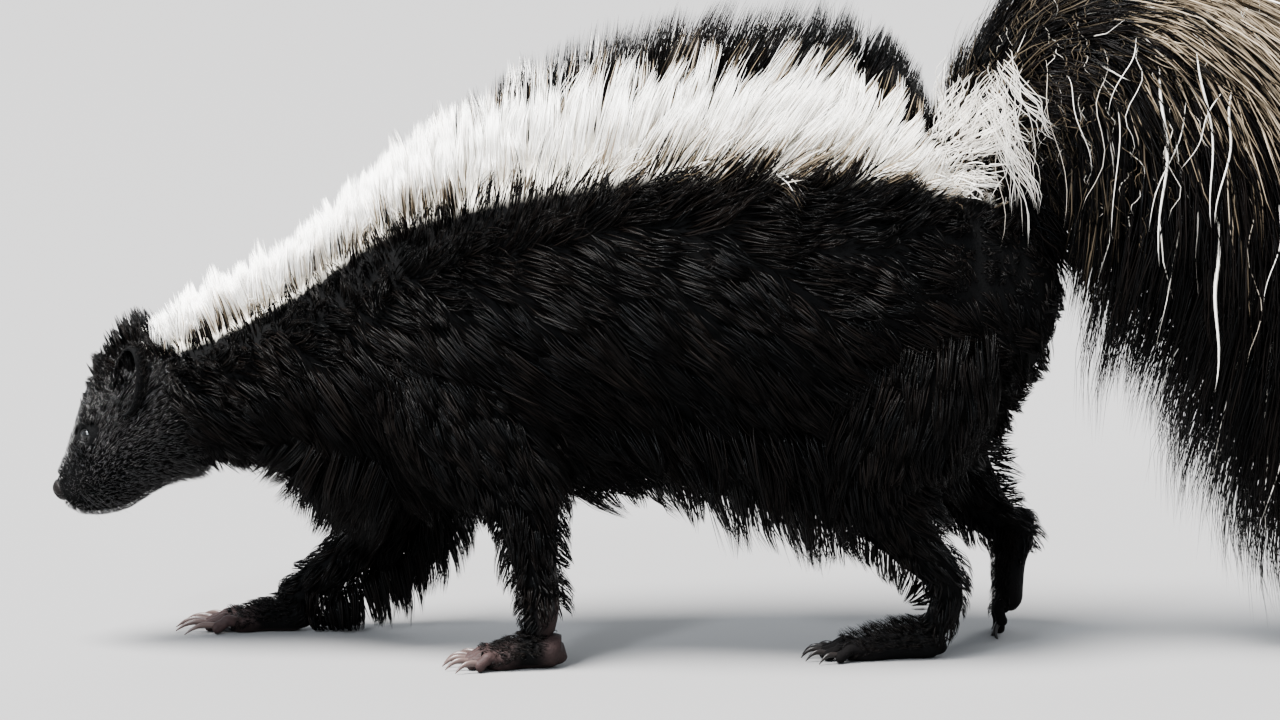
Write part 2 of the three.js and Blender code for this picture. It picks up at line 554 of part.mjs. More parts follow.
let head = between(spine, null, CUTS.headToNeck);
[-1, 1].forEach((side) => {
  const { outer, slit, socket } = lids(side);
  head = head.add(outer).subtract(socket).subtract(slit);
});
head = head.subtract(mouthLine(HEAD.build({ rings: 9, sides: 12, grow: -1.2 })));
const earsClearOf = join([headGrown, fused([...headLocks, ...trunkLocks.filter(({ t }) => t < 0.2)], GAP)]);
[["left", -1], ["right", 1]].forEach(([name, side]) => {
  addNode("eye_" + name, sphere(EYE.radius, eyeCentre(side)), EYE_DARK);
  addNode("ear_" + name, earCup(side).subtract(earsClearOf), COAT_BLACK);
});
addNode("head", head.subtract(nosePad(GAP)), COAT_BLACK);
addNode("nose", nostrils().reduce((pad, hole) => pad.subtract(hole), nosePad(0)), NOSE_SKIN);

limbs.forEach(({ name, elbow, body, grown }) => {
  const { foot, ...stand } = FEET[name];
  const { paw, claws, clawsGrown } = footParts(foot, footPlace(stand));
  addNode(name + "_upper", between(body, null, elbow), COAT_BLACK);
  addNode(name + "_lower", between(body, elbow, null).trimByPlane([0, 0, 1], 0), COAT_BLACK);
  addNode(name + "_paw", cutAway(paw, [grown, ...clawsGrown]).trimByPlane([0, 0, 1], 0), PAW_SKIN);
  claws.forEach((claw, i) => {
    addNode(`${name}_claw_${i + 1}`, claw.trimByPlane([0, 0, 1], 0), CLAW_HORN);
  });
});

// The named meshes, moved so that the origin is on the floor under the middle of the animal.
const skunk = new THREE.Group();
nodes.forEach(({ name, body, look }) => {
  const mesh = new THREE.Mesh(geometryOf(body), new THREE.MeshStandardMaterial(look));
  mesh.name = name;
  skunk.add(mesh);
});
const reach = new THREE.Box3().setFromObject(skunk);
const middle = reach.getCenter(new THREE.Vector3());
skunk.position.set(-middle.x, -middle.y, -reach.min.z);

export default skunk;
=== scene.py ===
# %% [markdown]
# # A striped skunk with a wet coat
# The imported solids give the skunk's true size: a core for each part of its body and coarse locks out to the
# tips of its hair. Here one skin is drawn inside them and thousands of fine tufts of hair take the locks'
# place. The frame is loaded first, and its box is kept, so that the hair can be held inside it.

# %% Load the frame
import math

import bpy
import numpy as np
from mathutils import Matrix, Vector
from mathutils.bvhtree import BVHTree
from mathutils.kdtree import KDTree


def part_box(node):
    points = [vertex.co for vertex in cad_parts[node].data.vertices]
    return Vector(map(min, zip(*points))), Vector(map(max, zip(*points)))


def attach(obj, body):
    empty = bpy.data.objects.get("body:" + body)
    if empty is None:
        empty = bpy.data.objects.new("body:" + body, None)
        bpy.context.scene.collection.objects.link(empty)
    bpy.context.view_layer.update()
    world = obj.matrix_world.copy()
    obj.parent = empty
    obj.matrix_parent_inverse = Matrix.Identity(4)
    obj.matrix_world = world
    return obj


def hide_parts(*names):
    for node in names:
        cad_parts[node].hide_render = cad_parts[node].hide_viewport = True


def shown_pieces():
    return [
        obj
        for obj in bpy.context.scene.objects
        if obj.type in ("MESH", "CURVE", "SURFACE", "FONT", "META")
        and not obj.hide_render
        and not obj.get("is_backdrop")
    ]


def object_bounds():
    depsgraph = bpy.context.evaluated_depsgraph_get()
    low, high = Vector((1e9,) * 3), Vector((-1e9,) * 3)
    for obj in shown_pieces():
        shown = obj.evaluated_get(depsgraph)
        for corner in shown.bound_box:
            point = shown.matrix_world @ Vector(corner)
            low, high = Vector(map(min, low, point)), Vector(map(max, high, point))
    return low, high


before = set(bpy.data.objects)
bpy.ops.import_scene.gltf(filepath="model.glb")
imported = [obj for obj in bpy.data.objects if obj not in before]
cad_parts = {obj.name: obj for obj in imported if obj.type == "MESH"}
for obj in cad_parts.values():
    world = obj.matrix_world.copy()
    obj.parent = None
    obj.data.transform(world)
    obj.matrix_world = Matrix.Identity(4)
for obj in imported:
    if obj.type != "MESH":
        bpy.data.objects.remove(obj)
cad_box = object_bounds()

MM = 0.001
random = np.random.default_rng(11)
DENSITY = 1.0
print("solids:", len(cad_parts), "box in mm:", [round((b - a) / MM, 1) for a, b in zip(*cad_box)])

# %% [markdown]
# ## A body as a line of stations
# A limb or a trunk could be pulled out of a primitive face by face, but an animal's body changes its width,
# its depth and its direction all at once. It is simpler to measure it at a few stations along its length
# and to let a smooth curve run through them. Each station gives a place, the half width, and the half depth
# above and below. Any spot on the body is then two numbers: how far along it is, and the angle round it
# from the top.

# %% Body lines
Y_AXIS = np.array([0.0, 1.0, 0.0])


def unit(vectors):
    return vectors / np.maximum(np.linalg.norm(vectors, axis=-1, keepdims=True), 1e-9)


class BodyLine:
    """Stations of (x, y, z, half width, half depth above, half depth below), in millimetres."""

    def __init__(self, stations):
        self.table = np.array(stations, float)

    def values(self, t):
        """A smooth curve through the stations, at shares t of the whole line."""
        last = len(self.table) - 1
        reach = np.clip(t, 0, 1) * last
        start = np.minimum(reach.astype(int), last - 1)
        u = (reach - start)[:, None]
        p, q, r, s = (self.table[np.clip(start + k, 0, last)] for k in (-1, 0, 1, 2))
        return (2 * q + (r - p) * u + (2 * p - 5 * q + 4 * r - s) * u**2 + (3 * q - p - 3 * r + s) * u**3) / 2

    def axes(self, t):
        """The way along the line and the way up from it."""
        along = unit(self.values(t + 0.004)[:, :3] - self.values(t - 0.004)[:, :3])
        return along, unit(np.cross(along, Y_AXIS))

    def point(self, t, angle, grow=0.0):
        """A spot on the body, at t along it and at an angle round it from the top."""
        here = self.values(t)
        along, up = self.axes(t)
        c, s = np.cos(angle), np.sin(angle)
        depth = np.where(c > 0, here[:, 4], here[:, 5]) + grow
        wide = here[:, 3] + grow
        return here[:, :3] + up * (depth * c)[:, None] + Y_AXIS * (wide * s)[:, None]

    def grown(self, above, wide, below):
        """The same line, deeper and wider by so much at each station."""
        table = self.table.copy()
        table[:, 3] += wide
        table[:, 4] += above
        table[:, 5] += below
        return BodyLine(table)


# %% [markdown]
# ## Closed skins from rings
# Every body starts as rings of points joined into a closed mesh with a fan over each end. The mesh goes in
# as arrays, which is quicker than an operator per face and gives the same object that a loft by hand would.

# %% Meshes from arrays
ORIGIN_SHIFT = np.zeros(3)


def mesh_object(name, points, triangles):
    """A mesh object from points in the skunk's own millimetres."""
    mesh = bpy.data.meshes.new(name)
    mesh.vertices.add(len(points))
    mesh.vertices.foreach_set("co", ((points + ORIGIN_SHIFT) * MM).astype(np.float32).ravel())
    mesh.loops.add(triangles.size)
    mesh.loops.foreach_set("vertex_index", triangles.astype(np.int32).ravel())
    mesh.polygons.add(len(triangles))
    mesh.polygons.foreach_set("loop_start", np.arange(0, triangles.size, 3, dtype=np.int32))
    mesh.polygons.foreach_set("use_smooth", np.full(len(triangles), True))
    mesh.update(calc_edges=True)
    piece = bpy.data.objects.new(name, mesh)
    bpy.context.collection.objects.link(piece)
    return piece


def ring_faces(rings, sides):
    """Triangles between neighbouring rings, and fans to one more point at each end."""
    r, i = np.meshgrid(np.arange(rings - 1), np.arange(sides), indexing="ij")
    a = (r * sides + i).ravel()
    b = (r * sides + (i + 1) % sides).ravel()
    walls = np.concatenate([np.stack([a, a + sides, b], 1), np.stack([b, a + sides, b + sides], 1)])
    i = np.arange(sides)
    j = (i + 1) % sides
    end = (rings - 1) * sides
    first = np.stack([np.full(sides, rings * sides), i, j], 1)
    last = np.stack([np.full(sides, rings * sides + 1), end + j, end + i], 1)
    return np.concatenate([walls, first, last])


def facing_out(points, faces, middle):
    """The same triangles, turned round if the closed skin they make is inside out."""
    a, b, c = (points[faces[:, k]] - middle for k in range(3))
    volume = (a * np.cross(b, c)).sum()
    return faces[:, ::-1] if volume < 0 else faces


def loft(line, rings, sides, grow=0.0, shape=None):
    """The points and triangles of a body line's closed skin."""
    t, angle = np.meshgrid(np.linspace(0, 1, rings), np.arange(sides) / sides * 2 * math.pi, indexing="ij")
    wall = line.point(t.ravel(), angle.ravel(), grow)
    if shape is not None:
        wall = shape(wall)
    ends = [wall[:sides].mean(0), wall[-sides:].mean(0)]
    points = np.concatenate([wall, ends])
    return points, facing_out(points, ring_faces(rings, sides), np.zeros(3))


def joined(name, bodies):
    """Several closed skins in one mesh."""
    points, faces, start = [], [], 0
    for body_points, body_faces in bodies:
        points.append(body_points)
        faces.append(body_faces + start)
        start += len(body_points)
    return mesh_object(name, np.concatenate(points), np.concatenate(faces))


# %% [markdown]
# ## Melting the lofts into flesh
# Where a leg meets the trunk, two lofts only pass through each other. The Remesh modifier in voxel mode
# keeps just the outside of them as one surface, and a Smooth modifier softens the crease that is left, as
# flesh would.


# %% Melting and smoothing
def only(piece):
    bpy.ops.object.select_all(action="DESELECT")
    piece.select_set(True)
    bpy.context.view_layer.objects.active = piece


def melt(piece, voxel, smoothing):
    """One smooth surface in place of several skins that cross; voxel in millimetres."""
    only(piece)
    remesh = piece.modifiers.new("melt", "REMESH")
    remesh.mode = "VOXEL"
    remesh.voxel_size = voxel * MM
    remesh.use_smooth_shade = True
    soften = piece.modifiers.new("soften", "SMOOTH")
    soften.iterations = smoothing
    soften.factor = 0.5
    for modifier in ("melt", "soften"):
        bpy.ops.object.modifier_apply(modifier=modifier)
    return piece


def vertices_of(piece):
    places = np.empty(len(piece.data.vertices) * 3, np.float32)
    piece.data.vertices.foreach_get("co", places)
    return places.reshape(-1, 3).astype(float) / MM - ORIGIN_SHIFT


# %% [markdown]
# ## The skunk's measures
# These are the same stations that the solids were built from. The skunk walks towards -X with its head low,
# its back arched and its tail raised in an arch that droops behind the rump.

# %% Head stations
NOSE_TIP = np.array([-246.5, 0.0, 69.2])
HEAD_PITCH = math.radians(34)
HEAD_BACK = np.array([math.cos(HEAD_PITCH), 0, math.sin(HEAD_PITCH)])
HEAD_UP = np.array([-math.sin(HEAD_PITCH), 0, math.cos(HEAD_PITCH)])


def head_point(along, above, across=0.0):
    return NOSE_TIP + along * HEAD_BACK + above * HEAD_UP + across * Y_AXIS


def head_station(along, above, below, wide):
    x, y, z = head_point(along, (above - below) / 2)
    half = (above + below) / 2
    return (x, y, z, wide, half, half)


HEAD = BodyLine([
    head_station(0.6, -1.5, 9, 4.5),
    head_station(2.5, 2.5, 13, 8),
    head_station(7, 5.8, 18, 10.4),
    head_station(13, 9, 21.5, 12.6),
    head_station(20, 13.5, 24, 15.6),
    head_station(28, 19.5, 25.5, 19.6),
    head_station(37, 25.5, 26.5, 23.6),
    head_station(47, 30, 28, 26),
    head_station(58, 31.5, 29, 26.5),
    head_station(69, 27, 27, 23),
    head_station(78, 16, 16, 14),
])

# %% [markdown]
# The eyes tie the skunk's own millimetres to the frame. Their middle in the solids is read from the frame,
# and the difference to the place they have here is added to every point that is made.

# %% The eyes' places and the frame's zero
EYE_RADIUS = 3.4
EYE_AT = {side: head_point(25.8, 10.2, side * 12.1) for side in (-1, 1)}
eye_low, eye_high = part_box("eye_left")
ORIGIN_SHIFT = (np.array(eye_low) + np.array(eye_high)) / 2 / MM - EYE_AT[-1]
print("own zero in the frame, mm:", ORIGIN_SHIFT.round(2))

# %% [markdown]
# The trunk is a long barrel with an arched back, and the coat has its own outer line. Its crest stands
# highest over the loins, and its fringe hangs lowest at the chest and in front of the thighs.

# %% Trunk stations and the coat's depth over them
TRUNK = BodyLine([
    (-205, 0, 99, 18, 20, 20),
    (-192, 0, 106, 25, 30, 29),
    (-169, 0, 113, 28, 31, 31),
    (-142, 0, 121, 33, 37, 38),
    (-113, 0, 127, 42, 53, 52),
    (-80, 0, 135, 51, 67, 68),
    (-38, 0, 146, 59, 77, 78),
    (4, 0, 155, 64, 82, 82),
    (46, 0, 158, 66, 85, 86),
    (88, 0, 156, 64, 87, 88),
    (124, 0, 157, 53, 72, 75),
    (152, 0, 163, 38, 48, 50),
    (170, 0, 171, 16, 20, 20),
])
CREST = np.array([4, 9, 16, 16, 15, 18, 25, 31, 34, 32, 24, 12, 8])
FRINGE = np.array([2, 3, 6, 14, 20, 8, 7, 8, 10, 18, 12, 8, 8])
COAT = TRUNK.grown(CREST, 4, FRINGE)
print("trunk:", len(TRUNK.table), "stations, coat up to", CREST.max(), "mm deep")

# %% [markdown]
# The tail is mostly hair. A thin dock runs inside it, and each station says where the dock is, where the
# hair's tips are on the outside of the arch, where they are on the inside, and half the width. The dock and
# the plume are then the same line at two shares of the way from the one to the other.

# %% Tail stations
TAIL_STATIONS = [
    ((138, 196), (126, 222), (160, 186), 24),
    ((151, 224), (132, 258), (176, 196), 32),
    ((168, 254), (150, 286), (190, 188), 36),
    ((193, 275), (186, 309), (197, 168), 40),
    ((227, 279), (232, 313), (207, 143), 42),
    ((260, 258), (278, 295), (222, 122), 43),
    ((286, 224), (317, 250), (236, 102), 42),
    ((298, 182), (339, 200), (242, 78), 39),
    ((303, 142), (350, 148), (250, 56), 34),
    ((305, 112), (352, 98), (263, 38), 27),
    ((307, 92), (345, 54), (282, 26), 19),
    ((310, 76), (328, 26), (306, 18), 8),
]


def tail_line(share, wide_share):
    """The tail's outline at a share of the way from the dock inside it to the tips of its hair."""
    stations = []
    for dock, outer, inner, wide in TAIL_STATIONS:
        dock, outer, inner = (np.array(place, float) for place in (dock, outer, inner))
        top = dock + (outer - dock) * share
        under = dock + (inner - dock) * share
        x, z = (top + under) / 2
        half = np.linalg.norm(top - under) / 2
        stations.append((x, 0, z, wide * wide_share, half, half))
    return BodyLine(stations)


DOCK = tail_line(0.42, 0.48)
PLUME = tail_line(0.97, 0.94)
print("tail:", len(TAIL_STATIONS), "stations")

# %% [markdown]
# Three feet stand and the far hind foot has just left the ground, so each leg has stations of its own. The
# near fore leg is upright under the shoulder, and the far one reaches forward.

# %% Leg stations
LEGS = {
    "fore_left": BodyLine([
        (-100, -24, 140, 16, 28, 28),
        (-78, -34, 108, 19, 29, 29),
        (-50, -40, 74, 15, 18, 19),
        (-44, -43, 46, 11, 12, 12.5),
        (-41, -45, 26, 10, 10.5, 10.5),
        (-42, -45, 12, 9.5, 8, 9),
    ]),
    "fore_right": BodyLine([
        (-102, 24, 140, 16, 28, 28),
        (-98, 34, 100, 19, 29, 29),
        (-99, 38, 62, 15, 20, 19),
        (-120, 38, 36, 11, 13, 13),
        (-141, 38, 20, 10, 10, 10),
        (-152, 38, 13, 9.5, 8, 9),
    ]),
    "hind_left": BodyLine([
        (122, -22, 160, 18, 34, 34),
        (110, -36, 118, 24, 35, 38),
        (99, -36, 76, 18, 24, 22),
        (113, -29, 52, 12, 14, 15),
        (127, -26, 35, 10, 10, 11),
        (128, -25, 20, 9.5, 9, 10),
        (120, -24, 9, 9, 7, 8),
    ]),
    "hind_right": BodyLine([
        (124, 22, 160, 18, 34, 34),
        (124, 36, 118, 24, 36, 37),
        (128, 38, 80, 18, 24, 24),
        (145, 34, 56, 12, 14, 15),
        (160, 31, 43, 9.5, 9, 10),
        (163, 30, 34, 9, 7, 9),
    ]),
}
print("legs:", ", ".join(LEGS))

# %% Foot measures
FORE_FOOT = {"sole": 25, "wide": 12.5, "height": 12, "toe": 10, "round": 3.4, "claw": 13, "claw_round": 1.7}
PLANTED_FOOT = {**FORE_FOOT, "toe": 7, "claw": 9.5}
HIND_FOOT = {"sole": 35, "wide": 11.5, "height": 13, "toe": 8, "round": 3.3, "claw": 8, "claw_round": 1.5}
FEET = {
    "fore_left": (PLANTED_FOOT, (-42, -45, -0.4), 0, 4),
    "fore_right": (FORE_FOOT, (-152, 38, -0.4), 0, -4),
    "hind_left": (HIND_FOOT, (117, -24, -0.4), 0, 5),
    "hind_right": (HIND_FOOT, (167, 30, 40), 74, -4),
}
SPLAY = [-34, -16, 0, 15, 32]
REACH = [0.72, 0.94, 1, 0.96, 0.76]
print("feet:", len(FEET), "with", len(SPLAY), "toes each")

# %% [markdown]
# ## The head's own forms
# A lofted head is an egg with a snout. What makes it a skunk's are small things on it: hollows for the eyes
# under a low brow, full cheeks, whisker pads either side of the nose, and a mouth that runs back under
# them. Each of these is a soft bump or dent, added by moving the points near one spot outwards or inwards.

# %% Where the head's forms are
# Place along, above and across from the nose's tip, size, and how far the skin swells out there.
HEAD_FORMS = {
    "stop of the forehead": (23, 19, 0, 13, -3.2),
    "brows": (31, 17, 11, 5.5, 0.7),
    "hollows before the eyes": (18, 3, 14, 5.0, -0.8),
    "chin": (20, -26, 0, 13, 1.8),
    "cheeks": (36, -8, 24, 11, 1.8),
    "whisker pads": (6, -9, 7, 6.0, 1.6),
    "bridge of the nose": (4, 3, 3, 5.0, 0.8),
}
MOUTH = np.array([(-4, -11.5), (3, -13), (11, -15.4), (19, -16.4), (27, -14.4)])
MOUTH_DEPTH = 1.5
MOUTH_WIDTH = 0.9
LIP_DEPTH = 0.5
LIP_WIDTH = 1.6
HEAD_MIDDLE = head_point(40, -2)
HEAD_AXIS_ABOVE = -4.0
print("head:", len(HEAD_FORMS), "forms and a mouth", MOUTH[-1, 0], "mm long")


# %% Sculpting the head
def head_coordinates(points):
    from_nose = points - NOSE_TIP
    return from_nose @ HEAD_BACK, from_nose @ HEAD_UP, points[:, 1]


def swell(points, along, above, across, size, amount):
    """Moves the points near a spot and its mirror image out from the head's axis."""
    a, n, y = head_coordinates(points)
    far = ((a - along) ** 2 + (n - above) ** 2 + (np.abs(y) - across) ** 2) / size**2
    axis = NOSE_TIP + a[:, None] * HEAD_BACK + HEAD_AXIS_ABOVE * HEAD_UP
    return points + unit(points - axis) * (amount * np.exp(-far))[:, None]


def head_shape(points):
    """The lofted head with its forms, and the line of the mouth pressed in under a soft lip."""
    for form in HEAD_FORMS.values():
        points = swell(points, *form)
    a, n, y = head_coordinates(points)
    line = np.interp(a, MOUTH[:, 0], MOUTH[:, 1])
    mouth_end = MOUTH[-1, 0]
    near = np.exp(-(((n - line) / MOUTH_WIDTH) ** 2)) * np.clip((mouth_end - a) / 4, 0, 1) * (n > -30)
    lip = np.exp(-(((n - line + 2.6) / LIP_WIDTH) ** 2)) * np.clip((mouth_end - 1 - a) / 6, 0, 1)
    inward = unit(HEAD_MIDDLE * [1, 0, 1] - points * [1, 1, 1])
    return points + inward * (MOUTH_DEPTH * near + LIP_DEPTH * lip)[:, None]


# %% [markdown]
# ## Eye sockets
# An eye that is only pushed into a head looks stuck on. On the animal the skin rises to meet the lids and
# is hollow behind the eyeball. The points near each eye are therefore moved along the way the eye looks:
# out in a ring round it, and back behind its front.

# %% Eye sockets
SOCKET_RING = 3.6
SOCKET_RISE = 1.25
SOCKET_HOLE = 3.3


def eye_axes(side):
    """The way the eye looks, the way back along the head, and the way up across the eye."""
    out = unit(np.array([-0.6, side * 0.8, 0.14]))
    back = unit(HEAD_BACK - out * (HEAD_BACK @ out))
    return out, back, np.cross(back, out) * -side


def eye_sockets(points):
    """Skin raised round each eye to meet the lids, and sunk behind the eye's own front."""
    for side, centre in EYE_AT.items():
        out = eye_axes(side)[0]
        offset = points - centre
        height = offset @ out
        aside = np.linalg.norm(offset - height[:, None] * out, axis=1)
        mound = SOCKET_RISE * np.exp(-(((aside - SOCKET_RING) / 2.6) ** 2))
        behind = np.clip((SOCKET_HOLE - aside) / 0.8, 0, 1)
        wanted = (height + mound) * (1 - behind) + np.minimum(height, 1.0) * behind
        near = (height > -4) & (aside < 10)
        points = points + (near * (wanted - height))[:, None] * out
    return points


# %% [markdown]
# ## Ears
# A skunk's ears are small, round and set low. Each is a thin cup with a rolled rim. It could be a sphere
# cut in half with a Solidify modifier, but the cup is narrower at the top and turned three ways, so its
# outer and inner walls are drawn as rings of one closed surface.

# %% Ears
EAR_AT = {side: head_point(53.5, 20.5, side * 21.5) for side in (-1, 1)}
EAR_DEPTH = 8.6
EAR_THICKNESS = 6.0
EAR_HEIGHT = 15.5
EAR_WALL = 0.07
EAR_OPENING = 0.62 * math.pi
EAR_RINGS = 16
EAR_SIDES = 60


def ear_turn(side):
    """Laid back against the head, and open outwards and forwards."""
    outwards = Matrix.Rotation(side * 0.8, 3, "Z")
    back = Matrix.Rotation(0.08, 3, "Y")
    lean = Matrix.Rotation(side * 0.12, 3, "X")
    return np.array(outwards @ back @ lean)


def ear(side):
    """The closed skin of one ear."""
    outer = [(angle, 1.0) for angle in np.linspace(0.02, EAR_OPENING, EAR_RINGS)]
    inner = [(angle, 1 - EAR_WALL) for angle in np.linspace(EAR_OPENING, 0.02, EAR_RINGS)]
    around = np.arange(EAR_SIDES) / EAR_SIDES * 2 * math.pi
    narrow = 1 - 0.14 * np.sin(around)
    wall = []
    for angle, share in outer + inner:
        radius = math.sin(angle) * share
        out = -math.cos(angle) * share * (1 if share == 1 else 0.94)
        ring = np.stack([EAR_DEPTH * radius * np.cos(around) * narrow,
                         np.full(EAR_SIDES, side * EAR_THICKNESS * out),
                         EAR_HEIGHT * radius * np.sin(around)], 1)
        wall.append(ring)
    wall = np.concatenate(wall) @ ear_turn(side).T + EAR_AT[side]
    ends = [wall[:EAR_SIDES].mean(0), wall[-EAR_SIDES:].mean(0)]
    points = np.concatenate([wall, ends])
    return points, facing_out(points, ring_faces(2 * EAR_RINGS, EAR_SIDES), EAR_AT[side])


# %% [markdown]
# ## Feet
# A skunk walks on the bare soles of its paws. Each paw is a palm with five short toes, melted together
# finely enough to keep the toes apart. The long front claws are for digging, the hind ones are shorter.

# %% Where a foot stands
SOLE_LEVEL = 0.05


def foot_matrix(place, pitch, toe_out):
    turn = Matrix.Rotation(math.pi + math.radians(toe_out), 4, "Z")
    tip = Matrix.Rotation(math.radians(pitch), 4, "Y")
    return np.array(Matrix.Translation(place) @ turn @ tip)


def placed(body, matrix):
    points, faces = body
    return points @ matrix[:3, :3].T + matrix[:3, 3], faces


def above_floor(body):
    """The lowest points flattened onto the floor, as a sole is under the animal's weight."""
    points, faces = body
    points = points.copy()
    points[:, 2] = np.maximum(points[:, 2], SOLE_LEVEL)
    return points, faces


# %% Palms, toes and claws
def digit_place(foot, index, reach, z):
    """A spot on one toe's line, so far out from its root and so high above the sole."""
    turn = math.radians(SPLAY[index]) * 0.6
    root_x = foot["sole"] * (0.62 + 0.16 * REACH[index])
    root_y = (index - 2) * foot["wide"] * 0.39
    return (root_x + reach * math.cos(turn), root_y + reach * math.sin(turn), z)


def palm_line(wide, height, sole):
    return BodyLine([
        (-11, 0, 7.5, 2.5, 3, 3),
        (-9, 0, 7, 6, 6, 5.6),
        (-5, 0, 7.5, wide * 0.76, height * 0.6, 7.6),
        (sole * 0.3, 0, 7, wide * 0.84, height * 0.5, 7.2),
        (sole * 0.6, 0, 5.3, wide * 0.92, 5.0, 7.4),
        (sole * 0.78, 0, 4.2, wide * 0.84, 3.4, 7.6),
        (sole * 0.9, 0, 3.6, wide * 0.6, 2.2, 5.2),
    ])


def toe_line(foot, index, length):
    """A toe with its knuckle and its round tip."""
    r = foot["round"] - 0.7
    return BodyLine([
        (*digit_place(foot, index, -3.5, r * 1.5), r * 0.7, r * 0.7, r * 0.7),
        (*digit_place(foot, index, length * 0.1, r * 2.0), r * 0.88, r * 0.9, r * 0.9),
        (*digit_place(foot, index, length * 0.4, r * 2.25), r * 0.98, r * 0.98, r * 1.0),
        (*digit_place(foot, index, length * 0.6, r * 1.75), r * 0.84, r * 0.85, r * 0.9),
        (*digit_place(foot, index, length * 0.86, r * 1.2), r * 1.02, r * 0.95, r * 1.1),
        (*digit_place(foot, index, length, r * 1.05), r * 0.55, r * 0.5, r * 0.6),
    ])


def claw_line(foot, index, length):
    """A claw that starts inside the toe's tip and curves down to a point."""
    r = foot["round"] - 0.7
    c = foot["claw_round"] - 0.35
    bite = foot["claw"]
    return BodyLine([
        (*digit_place(foot, index, length - 2.6, r * 1.45), c * 0.8, c, c),
        (*digit_place(foot, index, length + bite * 0.25, r * 1.75), c * 0.66, c * 0.95, c * 0.95),
        (*digit_place(foot, index, length + bite * 0.62, r * 1.35), c * 0.45, c * 0.62, c * 0.62),
        (*digit_place(foot, index, length + bite * 0.94, r * 0.35), 0.14, 0.18, 0.18),
    ])


def foot_bodies(foot):
    """The palm and toes of one foot as one list of closed skins, and its claws as another."""
    bodies = [loft(palm_line(foot["wide"], foot["height"], foot["sole"]), 30, 32, -0.1)]
    claws = []
    for index, reach in enumerate(REACH):
        length = (foot["toe"] + foot["sole"] * 0.2) * reach
        bodies.append(loft(toe_line(foot, index, length), 26, 20))
        claws.append(loft(claw_line(foot, index, length), 16, 12))
    return bodies, claws


# %% [markdown]
# ## One skin
# The trunk, the dock and the four legs melt into one body. The head and the paws are melted apart from it
# with a much finer voxel, because their forms are small, and they reach into the body's ends under the
# hair. Then all are joined.

# %% The body's skin
COAT_DEPTH = 5.0
LEG_COAT_DEPTH = 2.2
HEAD_COAT_DEPTH = 0.9
BODY_VOXEL = 2.6
HEAD_VOXEL = 0.88
PAW_VOXEL = 0.82
body_parts = [loft(TRUNK, 90, 64, -COAT_DEPTH), loft(DOCK, 70, 40, -0.5)]
body_parts += [loft(leg, 40, 28, -LEG_COAT_DEPTH) for leg in LEGS.values()]
body = melt(joined("body", body_parts), BODY_VOXEL, 9)
print("body's skin:", len(body.data.vertices), "points")

# %% The head's skin
head = melt(joined("head", [loft(HEAD, 130, 120, -HEAD_COAT_DEPTH, head_shape)]), HEAD_VOXEL, 2)
head_vertices = (eye_sockets(vertices_of(head)) + ORIGIN_SHIFT) * MM
head.data.vertices.foreach_set("co", head_vertices.astype(np.float32).ravel())
ears = joined("ears", [ear(-1), ear(1)])
print("head's skin:", len(head.data.vertices), "points")

# %% The paws' skin
paw_pieces = []
claw_bodies = {}
for name, (foot, place, pitch, toe_out) in FEET.items():
    matrix = foot_matrix(place, pitch, toe_out)
    bodies, claws = foot_bodies(foot)
    standing = [above_floor(placed(body_part, matrix)) for body_part in bodies]
    paw_pieces.append(melt(joined(name + "_paw_skin", standing), PAW_VOXEL, 2))
    claw_bodies[name] = [above_floor(placed(claw, matrix)) for claw in claws]
print("paws' skins:", len(paw_pieces))

# %% All the skins joined
bpy.ops.object.select_all(action="DESELECT")
for piece in [body, head, ears] + paw_pieces:
    piece.select_set(True)
bpy.context.view_layer.objects.active = body
bpy.ops.object.join()
skin = bpy.context.active_object
skin.name = "skin"
print("skin:", len(skin.data.polygons), "faces")

# %% [markdown]
# ## The coat's markings
# The back is white from the crown of the head over the nape, and the white parts into two stripes with
# black between them. The stripes end in a loose white tuft at the root of the tail. Where the white begins
# and ends is an angle round the trunk, which changes along it, so the skin and the hair can ask the same
# question.

# %% Markings
WHITE_EDGE_X = [-215, -205, -185, -164, -151, -139, -105, -80, -34, 25, 88, 122, 148, 160, 170]
WHITE_EDGE = np.radians([0, 28, 28, 26, 25, 24, 25, 31, 39, 46, 46, 43, 33, 4, -20])
BLACK_EDGE_X = [-100, -60, -10, 46, 90, 125, 160]
BLACK_EDGE = np.radians([0, 9, 20, 24, 25, 27, 24])
NAPE_START = -206


def soft_step(values, low, high):
    share = np.clip((values - low) / (high - low), 0, 1)
    return share * share * (3 - 2 * share)


def whiteness(x, angle):
    """1 where the trunk's hair is white, 0 where it is black, and between them a narrow band of brown."""
    away = np.abs(np.arctan2(np.sin(angle), np.cos(angle)))
    past_white = away - np.interp(x, WHITE_EDGE_X, WHITE_EDGE)
    past_black = away - np.interp(x, BLACK_EDGE_X, BLACK_EDGE, left=-1)
    return soft_step(-past_white, -0.03, 0.07) * soft_step(past_black, -0.02, 0.04) * (x > NAPE_START)


def trunk_place(points):
    """The trunk's x and the angle round it of any points near it."""
    centre = np.interp(points[:, 0], TRUNK.table[:, 0], TRUNK.table[:, 2])
    return points[:, 0], np.arctan2(points[:, 1], points[:, 2] - centre)


# %% Bare parts of the feet
HEEL_SIDE = -45


def bare_heel(points):
    """1 on the near forefoot's heel, which is bare behind the wrist, and 0 away from it."""
    x, y, z = points.T
    behind = soft_step(x, -44, -35) * (x < -24) * (np.abs(y - HEEL_SIDE) < 14)
    return behind * soft_step(-z, -31, -24)


